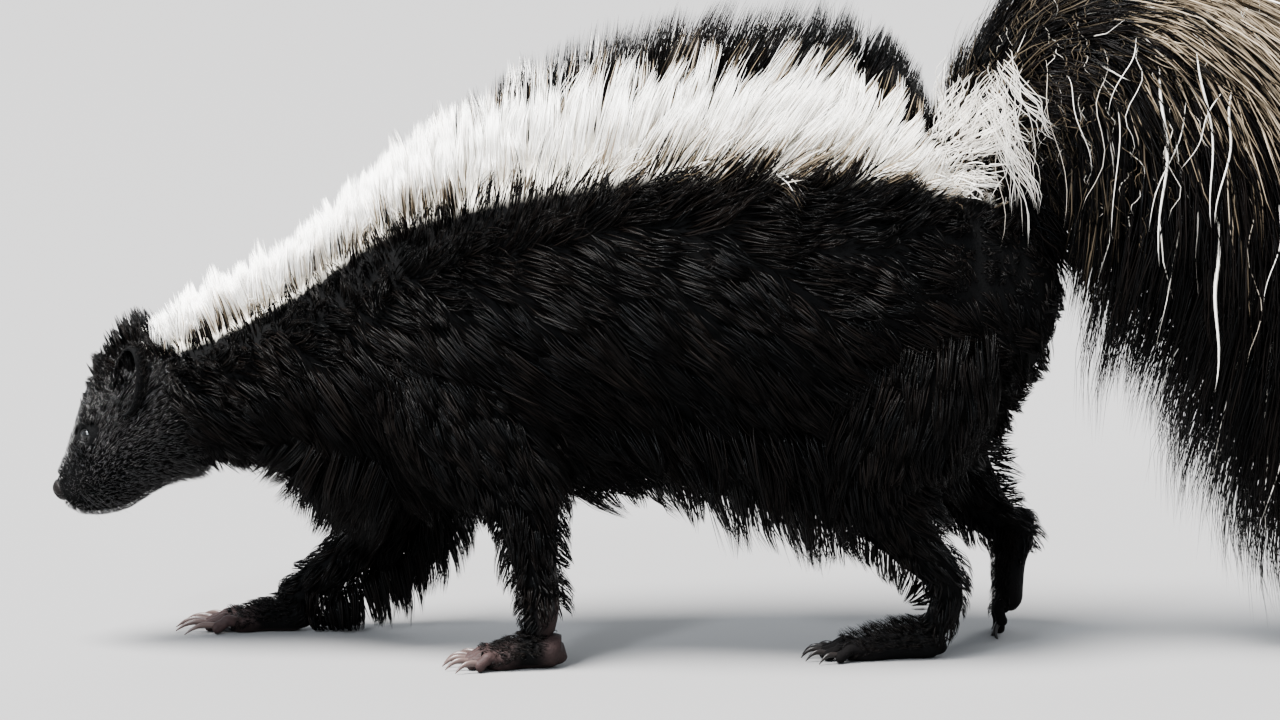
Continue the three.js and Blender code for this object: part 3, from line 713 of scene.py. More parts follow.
def bare_foot(points, foot, matrix):
    """1 on a foot's toes, half as much on its sole, and 0 away from it."""
    own = np.linalg.inv(matrix)
    along, across, height = (points @ own[:3, :3].T + own[:3, 3]).T
    near = (np.abs(across) < 22) & (along > -12) & (along < 60) & (height < 14)
    toes = np.clip((along - foot["sole"] * 0.3) / 14, 0, 1)
    soles = np.clip((2.6 - height) / 2, 0, 0.5)
    return near * np.maximum(toes, soles)


# %% Marks on the skin
FORE_BARE = 0.85
HIND_BARE = 0.03
HEEL_BARE = 0.6


def mark(piece, label, values):
    """One number for each point of a mesh, which a material can read by its label."""
    attribute = piece.data.attributes.new(label, "FLOAT", "POINT")
    attribute.data.foreach_set("value", values.astype(np.float32))


skin_points = vertices_of(skin)
x, angle = trunk_place(skin_points)
over_trunk = (skin_points[:, 0] < 160) & (skin_points[:, 2] > 60)
mark(skin, "white", whiteness(x, angle) * over_trunk)
bare = HEEL_BARE * bare_heel(skin_points)
for name, (foot, place, pitch, toe_out) in FEET.items():
    share = FORE_BARE if name.startswith("fore") else HIND_BARE
    bare = np.maximum(bare, share * bare_foot(skin_points, foot, foot_matrix(place, pitch, toe_out)))
mark(skin, "bare", bare)
print("bare skin:", int((bare > 0.5).sum()), "points of", len(bare))

# %% What the skin stands for
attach(skin, "root")
FLESH = ["head", "neck", "torso", "tail_base", "tail_middle", "tail_end", "ear_left", "ear_right"]
FLESH += [f"{leg}_{part}" for leg in LEGS for part in ("upper", "lower", "paw")]
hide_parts(*FLESH)

# %% [markdown]
# ## Hair as thin blades
# Hair that Blender combs and renders itself is lost when a model is exported, so here each hair, or small
# wet strand of hairs, is a real closed blade: a few three-sided rings between two points. It has its root
# in the skin, a point that bends it and a tip. Wet hair gathers, so each strand is pulled towards the tip
# of a leader near it. That is what turns an even fuzz into pointed, separate locks.

# %% Skin under the hair
skin.data.calc_loop_triangles()
skin_faces = [list(face.vertices) for face in skin.data.polygons]
tree = BVHTree.FromPolygons([point.co for point in skin.data.vertices], skin_faces)


def nearest_skin(points):
    """For each point: the nearest place on the skin, the way out of the skin there, and the distance out."""
    found = [tree.find_nearest(Vector(p)) for p in (points + ORIGIN_SHIFT) * MM]
    places = np.array([f[0] for f in found]) / MM - ORIGIN_SHIFT
    normals = np.array([f[1] for f in found])
    return places, normals, ((points - places) * normals).sum(1)


# %% Where hairs are rooted
def scatter(line, count, span, sides, weight=None):
    """Evenly spread places on a stretch of a body, as t and angle."""
    t_edges = np.linspace(*span, 91)
    angle_edges = np.linspace(*sides, 91)
    t, angle = (grid.ravel() for grid in np.meshgrid(t_edges[:-1], angle_edges[:-1], indexing="ij"))
    here = line.point(t, angle)
    ahead = line.point(t + t_edges[1] - t_edges[0], angle) - here
    beside = line.point(t, angle + angle_edges[1] - angle_edges[0]) - here
    share = np.linalg.norm(np.cross(ahead, beside), axis=1)
    if weight is not None:
        share = share * weight(t, angle)
    chosen = random.choice(len(t), int(count * DENSITY), p=share / share.sum())
    t = t[chosen] + random.random(len(chosen)) * (t_edges[1] - t_edges[0])
    angle = angle[chosen] + random.random(len(chosen)) * (angle_edges[1] - angle_edges[0])
    return t, angle


# %% How hairs cling and lie
def gathered(paths, size, pull, stray=0.0):
    """Pulls each path towards the nearest leader's, more and more towards the tip, as wet hair clings."""
    count = len(paths)
    leaders = random.choice(count, max(1, count // size), replace=False)
    finder = KDTree(len(leaders))
    for k, leader in enumerate(leaders):
        finder.insert(paths[leader, 0], k)
    finder.balance()
    follow = np.array([finder.find(root)[1] for root in paths[:, 0]])
    along = np.linspace(0, 1, paths.shape[1])[None, :, None]
    nudge = random.normal(size=(len(leaders), 1, 3)) * stray
    led = paths[leaders] + nudge * along**1.5
    share = (pull * random.uniform(0.7, 1.08, count))[:, None, None] * along**1.2
    return paths * (1 - share) + led[follow] * share, leaders[follow]


def combed(paths, lift=0.5):
    """Lifts the points of paths that run under the skin to just over it."""
    count, steps, _ = paths.shape
    flat = paths[:, 1:].reshape(-1, 3)
    places, normals, out = nearest_skin(flat)
    along = np.tile(np.linspace(0, 1, steps)[1:], count)
    wanted = lift + 1.5 * along
    low = out < wanted
    flat[low] = places[low] + normals[low] * wanted[low][:, None]
    paths[:, 1:] = flat.reshape(count, steps - 1, 3)
    return paths


# %% Blades in one mesh
PATCH_WIDE = 0.0012
PATCH_LOW = 0.0007
PATCH_HIGH = 0.001
PATCH_TIP = 0.0015


def blade_rings(paths, normals, wide, thick, taper):
    """Three points round each inner point of each path, with the path's two ends before and after them."""
    along = np.empty_like(paths)
    along[:, 1:-1] = paths[:, 2:] - paths[:, :-2]
    along[:, 0] = paths[:, 1] - paths[:, 0]
    along[:, -1] = paths[:, -1] - paths[:, -2]
    along = unit(along)
    side = unit(np.cross(along, normals[:, None, :]))
    over = np.cross(side, along)
    half = (wide[:, None] / 2 * taper)[:, 1:-1, None]
    rise = (thick[:, None] / 2 * taper)[:, 1:-1, None]
    centre, s, o = paths[:, 1:-1], side[:, 1:-1], over[:, 1:-1]
    base = centre - o * rise * 0.5
    rings = np.stack([base - s * half, base + s * half, centre + o * rise], 2)
    return np.concatenate([paths[:, :1], rings.reshape(len(paths), -1, 3), paths[:, -1:]], 1)


def blade_faces(per):
    """The triangles of one blade with so many points: a fan at each end and walls between its rings."""
    last = per - 4
    faces = [(1 + (k + 1) % 3, 1 + k, 0) for k in range(3)]
    for ring in range(1, last, 3):
        for k in range(3):
            a = ring + k
            b = ring + (k + 1) % 3
            faces += [(a, b, a + 3), (b, b + 3, a + 3)]
    faces += [(last + k, last + (k + 1) % 3, per - 1) for k in range(3)]
    return np.array(faces)


def blade_patch(per, steps):
    """The small patch that one blade takes on the skin's map, round its root's place."""
    spread = np.zeros((per, 2))
    spread[1:-1, 0] = np.tile([-PATCH_WIDE, PATCH_WIDE, 0], steps - 2)
    inner = np.repeat(np.linspace(-PATCH_LOW, PATCH_HIGH, steps - 2), 3)
    spread[:, 1] = np.concatenate([[-PATCH_TIP], inner, [PATCH_TIP]])
    return spread


def hair_taper(t):
    return (1 - t**1.6) * (0.55 + 0.9 * np.minimum(t, 0.35))


def blades(name, paths, normals, wide, thick, root_uv, white, tone, profile=hair_taper):
    """One mesh of closed, three-sided blades, pointed at both ends, along the paths from root to tip."""
    count, steps, _ = paths.shape
    t = np.linspace(0, 1, steps)
    points = blade_rings(paths, normals, wide, thick, profile(t))
    per = points.shape[1]
    faces = (blade_faces(per)[None] + (np.arange(count) * per)[:, None, None]).reshape(-1, 3)
    piece = mesh_object(name, points.reshape(-1, 3), faces)
    uv = (root_uv[:, None] + blade_patch(per, steps)[None]).reshape(-1, 2)
    layer = piece.data.uv_layers.new(name="OFBake")
    layer.data.foreach_set("uv", uv[faces.ravel()].astype(np.float32).ravel())
    mark(piece, "white", np.repeat(white, per))
    mark(piece, "tone", np.repeat(tone, per))
    mark(piece, "along", np.tile(np.concatenate([[0.0], np.repeat(t[1:-1], 3), [1.0]]), count))
    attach(piece, "root")
    print(name, count, "strands,", len(faces), "triangles")
    return piece


# %% [markdown]
# ## Growing a coat
# A coat is grown over one body line: roots are scattered on it, and each tip lies on an outer line, a
# little further back, because the hair leans that way. The hair of belly and legs also hangs.


# %% Limits of the coat
FLOOR_GAP = 0.9
BOX_MARGIN = 0.3
BOX_LOW = np.array(cad_box[0]) / MM - ORIGIN_SHIFT + BOX_MARGIN
BOX_HIGH = np.array(cad_box[1]) / MM - ORIGIN_SHIFT - BOX_MARGIN
coats = []
print("hair stays between", BOX_LOW.round(1), "and", BOX_HIGH.round(1))


def inside_the_box(paths, gap):
    """The paths held off the floor by a gap, and inside the solids' box."""
    paths[..., 2] = np.maximum(paths[..., 2], gap)
    return np.clip(paths, BOX_LOW, BOX_HIGH)


# %% Growing
def setting(value, t, angle):
    """A measure that is one number, or changes over the body."""
    return value(t, angle) if callable(value) else value


def bent(roots, bends, tips, steps):
    """Curved paths from roots to tips, each drawn towards its bend."""
    u = np.linspace(0, 1, steps)[None, :, None]
    return roots[:, None] * (1 - u) ** 2 + bends[:, None] * 2 * u * (1 - u) + tips[:, None] * u**2


def map_place(atlas, t, angle):
    """Where a root lies on the unwrapped skin: each body line has its own part of the map."""
    left, low, right, high = atlas
    round_share = (np.arctan2(np.sin(angle), np.cos(angle)) + math.pi) / (2 * math.pi)
    place = np.stack([left + (right - left) * t, low + (high - low) * round_share], 1)
    return np.clip(place, 0.002, 0.998)


def grow_coat(name, line, outer, count, span, sides, *, inset, reach, wide, thick, atlas, steps=4, sag=0.0,
              arch=0.25, small=5, big=40, pull=0.7, turn=0.0, stray=1.0, nudge=3.0, wave=0.0, marks=None,
              weight=None, size=1.0, keep=None, comb=True):
    """Grows one piece of coat on a body line. Lengths in millimetres, reach as a share of the line."""
    t, angle = scatter(line, count, span, sides, weight)
    places, normals, out = nearest_skin(line.point(t, angle, -inset))
    shown = out > -3.5
    if keep is not None:
        shown &= keep(places)
    t, angle, places, normals = t[shown], angle[shown], places[shown], normals[shown]
    number = len(t)
    roots = places - normals * 0.8
    away = np.sign(np.sin(angle)) * setting(turn, t, angle)
    tips = outer.point(t + setting(reach, t, angle) * random.uniform(0.6, 1.4, number),
                       angle + away + 0.04 * random.normal(size=number))
    lengthen = random.uniform(0.7, 1.05, number) * setting(size, t, angle)
    tips = roots + (tips - roots) * lengthen[:, None]
    tips[:, 2] -= setting(sag, t, angle) * random.uniform(0.6, 1.3, number)
    tips += random.normal(size=(number, 3)) * stray
    chord = np.linalg.norm(tips - roots, axis=1)
    paths = bent(roots, (roots + tips) / 2 + normals * (arch * chord)[:, None], tips, steps)
    if wave:
        u = np.linspace(0, 1, steps)[None, :, None]
        phase = random.uniform(0, 2 * math.pi, (number, 1, 3))
        paths = paths + wave * u * np.sin(phase + u * random.uniform(4, 9, (number, 1, 3)))
    paths, follow = gathered(paths, small, pull)
    paths, follow = gathered(paths, big, pull * 0.8, nudge)
    if comb:
        paths = combed(paths)
    paths = inside_the_box(paths, FLOOR_GAP + 0.4 * random.random((number, 1)))
    white = np.zeros(number) if marks is None else marks(places, t, angle)
    tone = np.clip(0.6 * random.random(number) + 0.4 * random.random(number)[follow], 0, 1)
    coats.append(blades(name, paths, normals, wide * random.uniform(0.75, 1.25, number),
                        thick * random.uniform(0.8, 1.2, number), map_place(atlas, t, angle), white, tone))


# %% [markdown]
# ## The trunk's coat
# The hair lies back along the body and hangs a little more the lower it grows. On the back it stands up in a
# crest, and the white hair there is denser than the black beside it. The rules below give each of these at any
# place on the body, with soft steps, so that one part of the coat passes into the next with no edge.

# %% How the trunk's hair lies
SIDE = {"left": -1, "right": 1}
TRUNK_ATLAS = (0.0, 0.0, 0.75, 0.45)


def trunk_marks(places, t, angle):
    """White or black by the place of the root, a little mixed along the edge."""
    x, around = trunk_place(places)
    return whiteness(x + 4 * random.normal(size=len(x)), around + 0.035 * random.normal(size=len(x)))


def down_the_side(angle):
    """0 on the back, where the hair stands up, and 1 on the flank, where it lies back."""
    return soft_step(np.abs(np.arctan2(np.sin(angle), np.cos(angle))), 0.65, 1.5)


def trunk_turn(t, angle):
    """How far the tips turn down round the body, in radians: most at the shoulder."""
    return (0.36 - 0.28 * soft_step(t, 0.3, 0.75)) * down_the_side(angle)


def trunk_reach(t, angle):
    """How far back the tips lie, less over the rump, whose hair would stick out past it."""
    side = down_the_side(angle)
    leaning = (0.004 + 0.03 * soft_step(t, 0.35, 0.8)) * (1 - side) + 0.038 * side
    return leaning * (1 - 0.9 * soft_step(t, 0.8, 0.95) * side)


# %% How long and dense it is
def trunk_size(t, angle):
    return 1 - 0.65 * soft_step(t, 0.82, 0.96)


def back_size(t, angle):
    """The white crest stands tall, and the black hair beside it on the neck is short."""
    past = np.abs(angle) - np.interp(TRUNK.values(t)[:, 0], WHITE_EDGE_X, WHITE_EDGE)
    return 1.06 - 0.6 * soft_step(past, 0.02, 0.25) * (1 - soft_step(t, 0.32, 0.5))


def denser_white(t, angle):
    return 1 + 0.8 * whiteness(TRUNK.values(t)[:, 0], angle)


def thicker_in_front(t, angle):
    return 2.2 - 1.2 * soft_step(t, 0.2, 0.5)


# %% Flanks
FLANK_TOP = math.radians(52)
FLANK_LOW = math.radians(176)
for name, side in SIDE.items():
    around = sorted((side * FLANK_TOP, side * FLANK_LOW))
    grow_coat("coat_flank_" + name, TRUNK, COAT, 12500, (0.05, 1.0), around, inset=COAT_DEPTH,
              reach=trunk_reach, wide=1.1, thick=0.45, sag=1.5, small=5, big=34, pull=0.76, turn=trunk_turn,
              stray=1.6, nudge=3.4, arch=0.16, size=trunk_size, weight=thicker_in_front, marks=trunk_marks,
              atlas=TRUNK_ATLAS)

# %% Back
BACK_HALF = math.radians(66)
for name, span in {"front": (0.02, 0.46), "rear": (0.46, 0.97)}.items():
    grow_coat("coat_back_" + name, TRUNK, COAT, 12500, span, (-BACK_HALF, BACK_HALF), inset=COAT_DEPTH,
              reach=trunk_reach, wide=0.85, thick=0.45, small=5, big=40, pull=0.66, arch=0.06,
              turn=trunk_turn, stray=1.4, nudge=3.0, size=back_size, weight=denser_white, marks=trunk_marks,
              atlas=TRUNK_ATLAS)

# %% [markdown]
# Under the belly and the chest the wet hair hangs in pointed clumps. It is grown as its own pieces, which
# sag far more than the flanks and cling together more. The chest's hair points forwards, between the fore
# legs.


# %% Belly
def under_the_rump(t):
    return soft_step(t, 0.78, 0.9)


def belly_sag(t, angle):
    return 5 + 14 * soft_step(t, 0.48, 0.66) - 16 * under_the_rump(t)


def belly_size(t, angle):
    return 0.7 + 0.4 * soft_step(t, 0.18, 0.27) - 0.6 * under_the_rump(t)


BELLY_SIDES = np.radians([126, 234])
grow_coat("coat_belly", TRUNK, COAT, 5600, (0.12, 0.93), BELLY_SIDES, inset=COAT_DEPTH, reach=0.022,
          wide=1.1, thick=0.5, small=5, big=30, pull=0.9, nudge=3.2, sag=belly_sag, size=belly_size,
          atlas=TRUNK_ATLAS)


# %% Chest
def chest_sag(t, angle):
    return 8 + 16 * soft_step(t, 0.22, 0.28)


CHEST_SIDES = np.radians([128, 232])
grow_coat("coat_chest", TRUNK, COAT, 2400, (0.2, 0.35), CHEST_SIDES, inset=COAT_DEPTH, reach=-0.052,
          wide=1.1, thick=0.5, small=5, big=30, pull=0.88, nudge=2.5, sag=chest_sag, size=1.1,
          atlas=TRUNK_ATLAS)

# %% [markdown]
# ## The head's coat
# The face has the shortest hair, a few millimetres of wet pile that shows the skull's form, so its blades
# are small and many. It is kept off the eyes and the nose pad. On the crown the hair grows long enough to
# stand in points.

# %% The head's outer line
HEAD_COAT = HEAD.grown(np.array([0.2, 0.2, 0.3, 0.3, 0.2, 0.0, 0.4, 2.4, 4.5, 7.5, 10]), 1.3,
                       np.array([0.4, 0.5, 0.8, 1.8, 3.2, 3.6, 3.8, 4.6, 5.5, 5, 5]))
HEAD_ATLAS = (0.76, 0.0, 0.99, 0.45)
NOSE_CENTRE = head_point(2.1, -3.6)
NOSE_CLEAR = 6.4
EYE_CLEAR = (5.0, 3.7)
EYE_CLEAR_FORWARD = 1.1


def off_the_eyes(places):
    """True where the face has hair: away from the eyes and the nose pad."""
    a, n, y = head_coordinates(places)
    eye_a, eye_n, eye_y = head_coordinates(EYE_AT[1][None])
    clear = ((a - eye_a + EYE_CLEAR_FORWARD) / EYE_CLEAR[0]) ** 2 + ((n - eye_n) / EYE_CLEAR[1]) ** 2 > 1
    on_the_nose = ((places - NOSE_CENTRE) ** 2).sum(1) < NOSE_CLEAR**2
    return clear & ~on_the_nose


# %% Face
def face_size(t, angle):
    return 0.34 + 0.66 * np.clip((t - 0.15) / 0.6, 0, 1)


def denser_muzzle(t, angle):
    return 2.2 - 1.3 * t


grow_coat("coat_head", HEAD, HEAD_COAT, 20500, (0.04, 1.0), (-math.pi, math.pi), inset=HEAD_COAT_DEPTH,
          reach=0.06, wide=0.46, thick=0.24, steps=3, small=3, big=9, pull=0.36, stray=0.4, nudge=0.35,
          arch=0.03, keep=off_the_eyes, size=face_size, weight=denser_muzzle, atlas=HEAD_ATLAS)


# %% Crown
def crown_size(t, angle):
    return 0.15 + 1.2 * soft_step(t, 0.5, 0.85)


CROWN_COAT = HEAD_COAT.grown(6, 1, 0)
grow_coat("coat_crown", HEAD, CROWN_COAT, 2400, (0.54, 0.98), (-0.9, 0.9), inset=HEAD_COAT_DEPTH,
          reach=0.005, wide=0.8, thick=0.4, small=5, big=26, pull=0.88, stray=0.4, nudge=1.4, arch=0.05,
          size=crown_size, atlas=HEAD_ATLAS)

# %% [markdown]
# An ear is too thin to have a body line of its own, so its tufts are rooted on the triangles of its surface
# and lie along one direction, back over its rim.

# %% Ears' coat
EAR_HAIRS = 2300
EAR_HAIR_LENGTH = 4.0
EAR_HAIR_WIDTH = 0.42
EAR_HAIR_LAY = np.array([0.75, 0, 0.65])
EAR_ATLAS = (0.76, 0.452, 0.99, 0.458)


def ear_places(side, count):
    """Places spread over one ear, and the way out from it at each."""
    points, faces = ear(side)
    corners = points[faces]
    facing = unit(np.cross(corners[:, 1] - corners[:, 0], corners[:, 2] - corners[:, 0]))
    chosen = random.choice(len(faces), count)
    share = random.dirichlet((1, 1, 1), len(chosen))
    return (corners[chosen] * share[:, :, None]).sum(1), facing[chosen]


both_ears = [ear_places(side, int(EAR_HAIRS * DENSITY)) for side in SIDE.values()]
ear_normals = np.concatenate([normals for places, normals in both_ears])
ear_roots = np.concatenate([places for places, normals in both_ears]) - ear_normals * 0.2
number = len(ear_roots)
lay = unit(EAR_HAIR_LAY - ear_normals * (ear_normals * EAR_HAIR_LAY).sum(1, keepdims=True) * 0.8)
length = (EAR_HAIR_LENGTH * random.uniform(0.6, 1.2, number))[:, None]
tips = ear_roots + lay * length + ear_normals * length * 0.24 + random.normal(size=(number, 3)) * 0.3
paths = bent(ear_roots, (ear_roots + tips) / 2 + ear_normals * length * 0.21, tips, 3)
paths, follow = gathered(paths, 5, 0.6)
ear_map = np.stack([random.uniform(EAR_ATLAS[0], EAR_ATLAS[2], number),
                    random.uniform(EAR_ATLAS[1], EAR_ATLAS[3], number)], 1)
coats.append(blades("coat_ears", paths, ear_normals, np.full(number, EAR_HAIR_WIDTH),
                    np.full(number, EAR_HAIR_WIDTH * 0.45), ear_map, np.zeros(number), random.random(number)))

# %% [markdown]
# ## Legs and paws
# Wet hair on the legs points down and back in short clumps, longest behind the thigh and under the far
# forearm, and gets short towards the foot. The paws' hair is as small as the face's and thins out towards the
# toes.

# %% Legs' coat
LEG_BACK_HAIR = {
    "fore_left": 6,
    "fore_right": 7,
    "hind_left": np.array([7, 7, 9, 10, 7, 0.5, 0.5]),
    "hind_right": np.array([3, 3, 14, 11, 7, 4]),
}
LEG_FRONT_HAIR = {
    "fore_left": 3.5,
    "fore_right": 3.5,
    "hind_left": np.array([4, 4, 6, 8, 8, 7, 5]),
    "hind_right": 3.5,
}


def leg_atlas(row):
    return (0.25 * row + 0.002, 0.75, 0.25 * row + 0.248, 0.99)


def leg_size(t, angle):
    return 1 - 0.5 * soft_step(t, 0.78, 0.98)


def hairy(places):
    """True for hairs off the bare heel, thinning out towards it."""
    return random.random(len(places)) > bare_heel(places)


for row, (name, leg) in enumerate(LEGS.items()):
    hairy_leg = leg.grown(LEG_BACK_HAIR[name], 3, LEG_FRONT_HAIR[name])
    grow_coat("coat_" + name, leg, hairy_leg, 5250, (0.0, 1.0), (-math.pi, math.pi), inset=LEG_COAT_DEPTH,
              reach=0.075, wide=1.0, thick=0.42, sag=3, small=5, big=26, pull=0.8, stray=0.8, nudge=1.8,
              size=leg_size, keep=hairy, atlas=leg_atlas(row))

# %% Fringe of the far forearm
elbow = LEGS["fore_right"]
grow_coat("coat_elbow", elbow, elbow.grown(14, 3, 3), 1500, (0.3, 0.86), (-0.9, 0.9), inset=LEG_COAT_DEPTH,
          reach=0.03, wide=1.1, thick=0.5, sag=15, small=5, big=30, pull=0.7, nudge=2.0, atlas=leg_atlas(1))


# %% Paws' coat
PAW_TOP = [(-0.2, 8, 6, 5), (0.1, 9, 10, 6), (0.4, 8, 11, 6), (0.7, 6, 11, 5.5), (1, 4, 10, 4)]
UNDER = math.pi
PAW_HALF = 2.0


def paw_line(foot, matrix):
    """The palm's top as a line from the wrist to the toes, in the skunk's own millimetres."""
    stations = []
    for share, height, wide, high in PAW_TOP:
        x, y, z = matrix[:3, :3] @ np.array([foot["sole"] * share, 0, height]) + matrix[:3, 3]
        stations.append((x, y, z, wide, high, high))
    return BodyLine(stations)


def denser_wrist(t, angle):
    return 1.6 - 1.3 * t


for row, (name, (foot, place, pitch, toe_out)) in enumerate(FEET.items()):
    line = paw_line(foot, foot_matrix(place, pitch, toe_out))
    instep = 5.0 if name == "hind_left" else 0.5
    grow_coat(f"coat_{name}_paw", line, line.grown(0.5, 0.5, instep), 1600, (0.0, 0.9),
              (UNDER - PAW_HALF, UNDER + PAW_HALF), inset=-1.0, reach=0.13, wide=0.5, thick=0.25, steps=3,
              small=4, big=12, pull=0.6, stray=0.25, nudge=0.5, arch=0.02, weight=denser_wrist, keep=hairy,
              atlas=(0.25 * row + 0.002, 0.5, 0.25 * row + 0.24, 0.7))

# %% [markdown]
# ## The tail's coat
# The tail is a plume of long hair on a thin dock. Its strands have one ring more than the body's, because they
# wave, and they aren't combed against the skin, which lies deep inside them. Over the top runs a tan sweep,
# and a few brown and pale hairs are mixed in.

# %% The tail's colours
def tail_marks(places, t, angle):
    """A tan sweep over the top of the tail, thin at its edges, and a few brown and pale hairs all over."""
    across = np.exp(-(((np.abs(angle) - 0.85) / 0.6) ** 2))
    along = soft_step(t, 0.22, 0.32) * soft_step(-t, -0.52, -0.42)
    tan = random.random(len(t)) < 0.95 * across * along
    pale = random.random(len(t)) < 0.006
    brown = (t < 0.34) & (random.random(len(t)) < 0.1)
    value = np.where(brown, random.uniform(0.02, 0.09, len(t)), 0.0)
    value = np.where(tan, random.uniform(0.12, 0.55, len(t)), value)
    return np.where(pale, 0.85, value)


# %% The plume
def inside_arch(angle):
    return soft_step(np.abs(angle), 1.3, 2.6)


def tail_sag(t, angle):
    """Hair on the inside of the arch hangs straight down; past the arch it all does."""
    return 6 + 14 * inside_arch(angle) * soft_step(-t, -0.5, -0.15)


def tail_size(t, angle):
    """Longest where it hangs from the inside of the arch."""
    return 1.06 + 0.42 * inside_arch(angle) * soft_step(t, 0.28, 0.42)


TAIL_ATLAS = (0.0, 0.46, 1.0, 0.74)
for name, span in {"base": (0.0, 0.3), "middle": (0.3, 0.58), "end": (0.58, 0.93)}.items():
    grow_coat("coat_tail_" + name, DOCK, PLUME, 6000, span, (-math.pi, math.pi), inset=0.5, reach=0.085,
              wide=1.15, thick=0.5, steps=5, sag=tail_sag, small=5, big=30, pull=0.55, arch=0.26, stray=3.5,
              nudge=6.0, wave=2.4, size=tail_size, marks=tail_marks, atlas=TAIL_ATLAS, comb=False)


# %% [markdown]
# ## Loose strands
# Long single hairs, and ropes of a few that cling together, hang free of the tail. They could be curves
# with a bevel, but a curve can't be tapered to a point at both ends as easily, nor carry the same marks. So
# they are the same blades, on paths that fall from their roots and wave more and more.

# %% Strands that fall
def wisp_taper(t):
    return np.minimum(1, 0.25 + 2.5 * t) * (1 - 0.9 * t**3)


def wisps(name, roots, hang, back, out, width, white, steps=12, curl=3.0, waves=2.2, ropes=1, hold=0.8):
    """Long wavy strands that fall from their roots; lengths in millimetres. Some cling together as ropes."""
    number = len(roots)
    u = np.linspace(0, 1, steps)[None, :, None]
    fall = np.stack([back, out, -hang], 1)[:, None]
    rise = np.array([0.25, 0.0, 0.5]) * np.abs(hang)[:, None, None] * 0.35
    paths = roots[:, None] + fall * u ** np.array([1.25, 0.5, 1.25]) + rise * u * (1 - u)
    phase = random.uniform(0, 2 * math.pi, (number, 1, 3))
    turns = waves * 2 * math.pi * random.uniform(0.6, 1.4, (number, 1, 1))
    paths = paths + np.array([1.0, 0.5, 0.35]) * curl * np.sqrt(u) * np.sin(phase + turns * u)
    if ropes > 1:
        paths, follow = gathered(paths, ropes, hold)
    paths = inside_the_box(paths, FLOOR_GAP)
    normals = np.tile([0.0, -1.0, 0.2], (number, 1))
    uv = np.stack([0.02 + 0.96 * random.random(number), 0.46 + 0.28 * random.random(number)], 1)
    tone = random.random(number)
    coats.append(blades(name, paths, normals, width, width * 0.6, uv, white, tone, wisp_taper))


# %% [markdown]
# The stripe ends in a fluffy white tuft at the root of the tail, and from it hang thin wavy ropes of wet
# hair.

# %% White tuft and ropes
TUFT_X = 131.0
TUFT_Z = 213.0


def white_tuft(name, side, count):
    """Fluff that spreads out from the end of one stripe."""
    turn = random.uniform(0, 2 * math.pi, count)
    spread = np.sqrt(random.random(count))
    x = TUFT_X + 12 * spread * np.cos(turn)
    z = TUFT_Z + 16 * spread * np.sin(turn)
    roots = np.stack([x, side * random.uniform(14, 33, count), z], 1)
    wisps(name, roots, -2 - 0.8 * (z - TUFT_Z + 7) + random.uniform(-5, 5, count),
          6 + 0.5 * (x - TUFT_X + 6) + random.uniform(-4, 5, count), side * random.uniform(0, 6, count),
          random.uniform(0.25, 0.55, count), random.uniform(0.75, 1.0, count), steps=9, curl=2.6, waves=1.2,
          ropes=6, hold=0.7)


def white_ropes(name, side, count):
    """Wavy ropes that hang down behind the tuft."""
    share = random.random(count)
    roots = np.stack([139 + 13 * share, side * random.uniform(24, 31, count),
                      236 + 18 * share + random.uniform(-8, 4, count)], 1)
    wisps(name, roots, random.uniform(24, 62, count), random.uniform(8, 24, count),
          side * random.uniform(9, 13, count), random.uniform(0.2, 0.45, count),
          random.uniform(0.8, 1.0, count), steps=14, curl=3.8, waves=1.7, ropes=7, hold=0.93)


for name, side in SIDE.items():
    white_tuft("white_tuft_" + name, side, 330)
    white_ropes("white_wisps_" + name, side, 56)

# %% Long white strands down both sides of the tail
# Each has the x and the height of its root, its fall, its way back, and its thickness.
LONG_STRANDS = [
    (214, 250, 82, 1, 1.5),
    (229, 257, 74, 8, 1.1),
    (244, 242, 56, -6, 1.1),
    (238, 190, 74, -1, 1.8),
    (226, 236, 54, -17, 0.5),
    (196, 236, 56, 0, 0.45),
    (241, 242, 35, -18, 0.5),
    (265, 196, 44, -6, 0.5),
    (205, 262, 30, -12, 0.4),
    (176, 246, 40, 9, 0.35),
]
x, z, fall, back, width = (np.repeat(column, 2) for column in np.array(LONG_STRANDS, float).T)
count = len(x)
both_sides = np.tile([-1.0, 1.0], count // 2)
strand_roots = np.stack([x, both_sides * 31, z], 1)
wisps("tail_strands", strand_roots, fall, back, both_sides * random.uniform(13, 16, count), width,
      random.uniform(0.8, 1.0, count), steps=18, curl=1.8, waves=1.1)

# %% Brown frizz over the tail's root, with pale hairs painted as glints
count = 1500
t = random.uniform(0.0, 0.4, count)
round_side = np.where(random.random(count) < 0.5, -1, 1)
frizz_roots = PLUME.point(t, round_side * random.uniform(0.5, 2.3, count), -5)
frizz_pick = random.random(count)
# Half the frizz is brown, the hair's own tone; one hair in ten is pale, a painted glint.
brown_and_glint_marks = np.where(frizz_pick < 0.5, random.uniform(0.03, 0.24, count), np.where(frizz_pick < 0.6, 0.8, 0.0))
wisps("tail_frizz", frizz_roots, random.uniform(4, 16, count), random.uniform(-5, 8, count),
      round_side * random.uniform(2, 5, count), random.uniform(0.16, 0.3, count), brown_and_glint_marks,
      steps=7, curl=1.7, waves=1.2)

# %% Single pale threads
count = 16
t = random.uniform(0.1, 0.7, count)
round_side = np.where(random.random(count) < 0.6, -1, 1)
thread_roots = PLUME.point(t, round_side * random.uniform(1.2, 1.8, count), -6)
wisps("tail_threads", thread_roots, random.uniform(20, 80, count), random.uniform(-8, 14, count),
      np.sign(thread_roots[:, 1]) * random.uniform(9, 13, count), random.uniform(0.2, 0.36, count),
      random.uniform(0.6, 1.0, count), steps=14, curl=3.6, waves=1.8)

# %% [markdown]
# Under the tail's root, black hair hangs like a curtain and closes most of the gap between rump and tail.

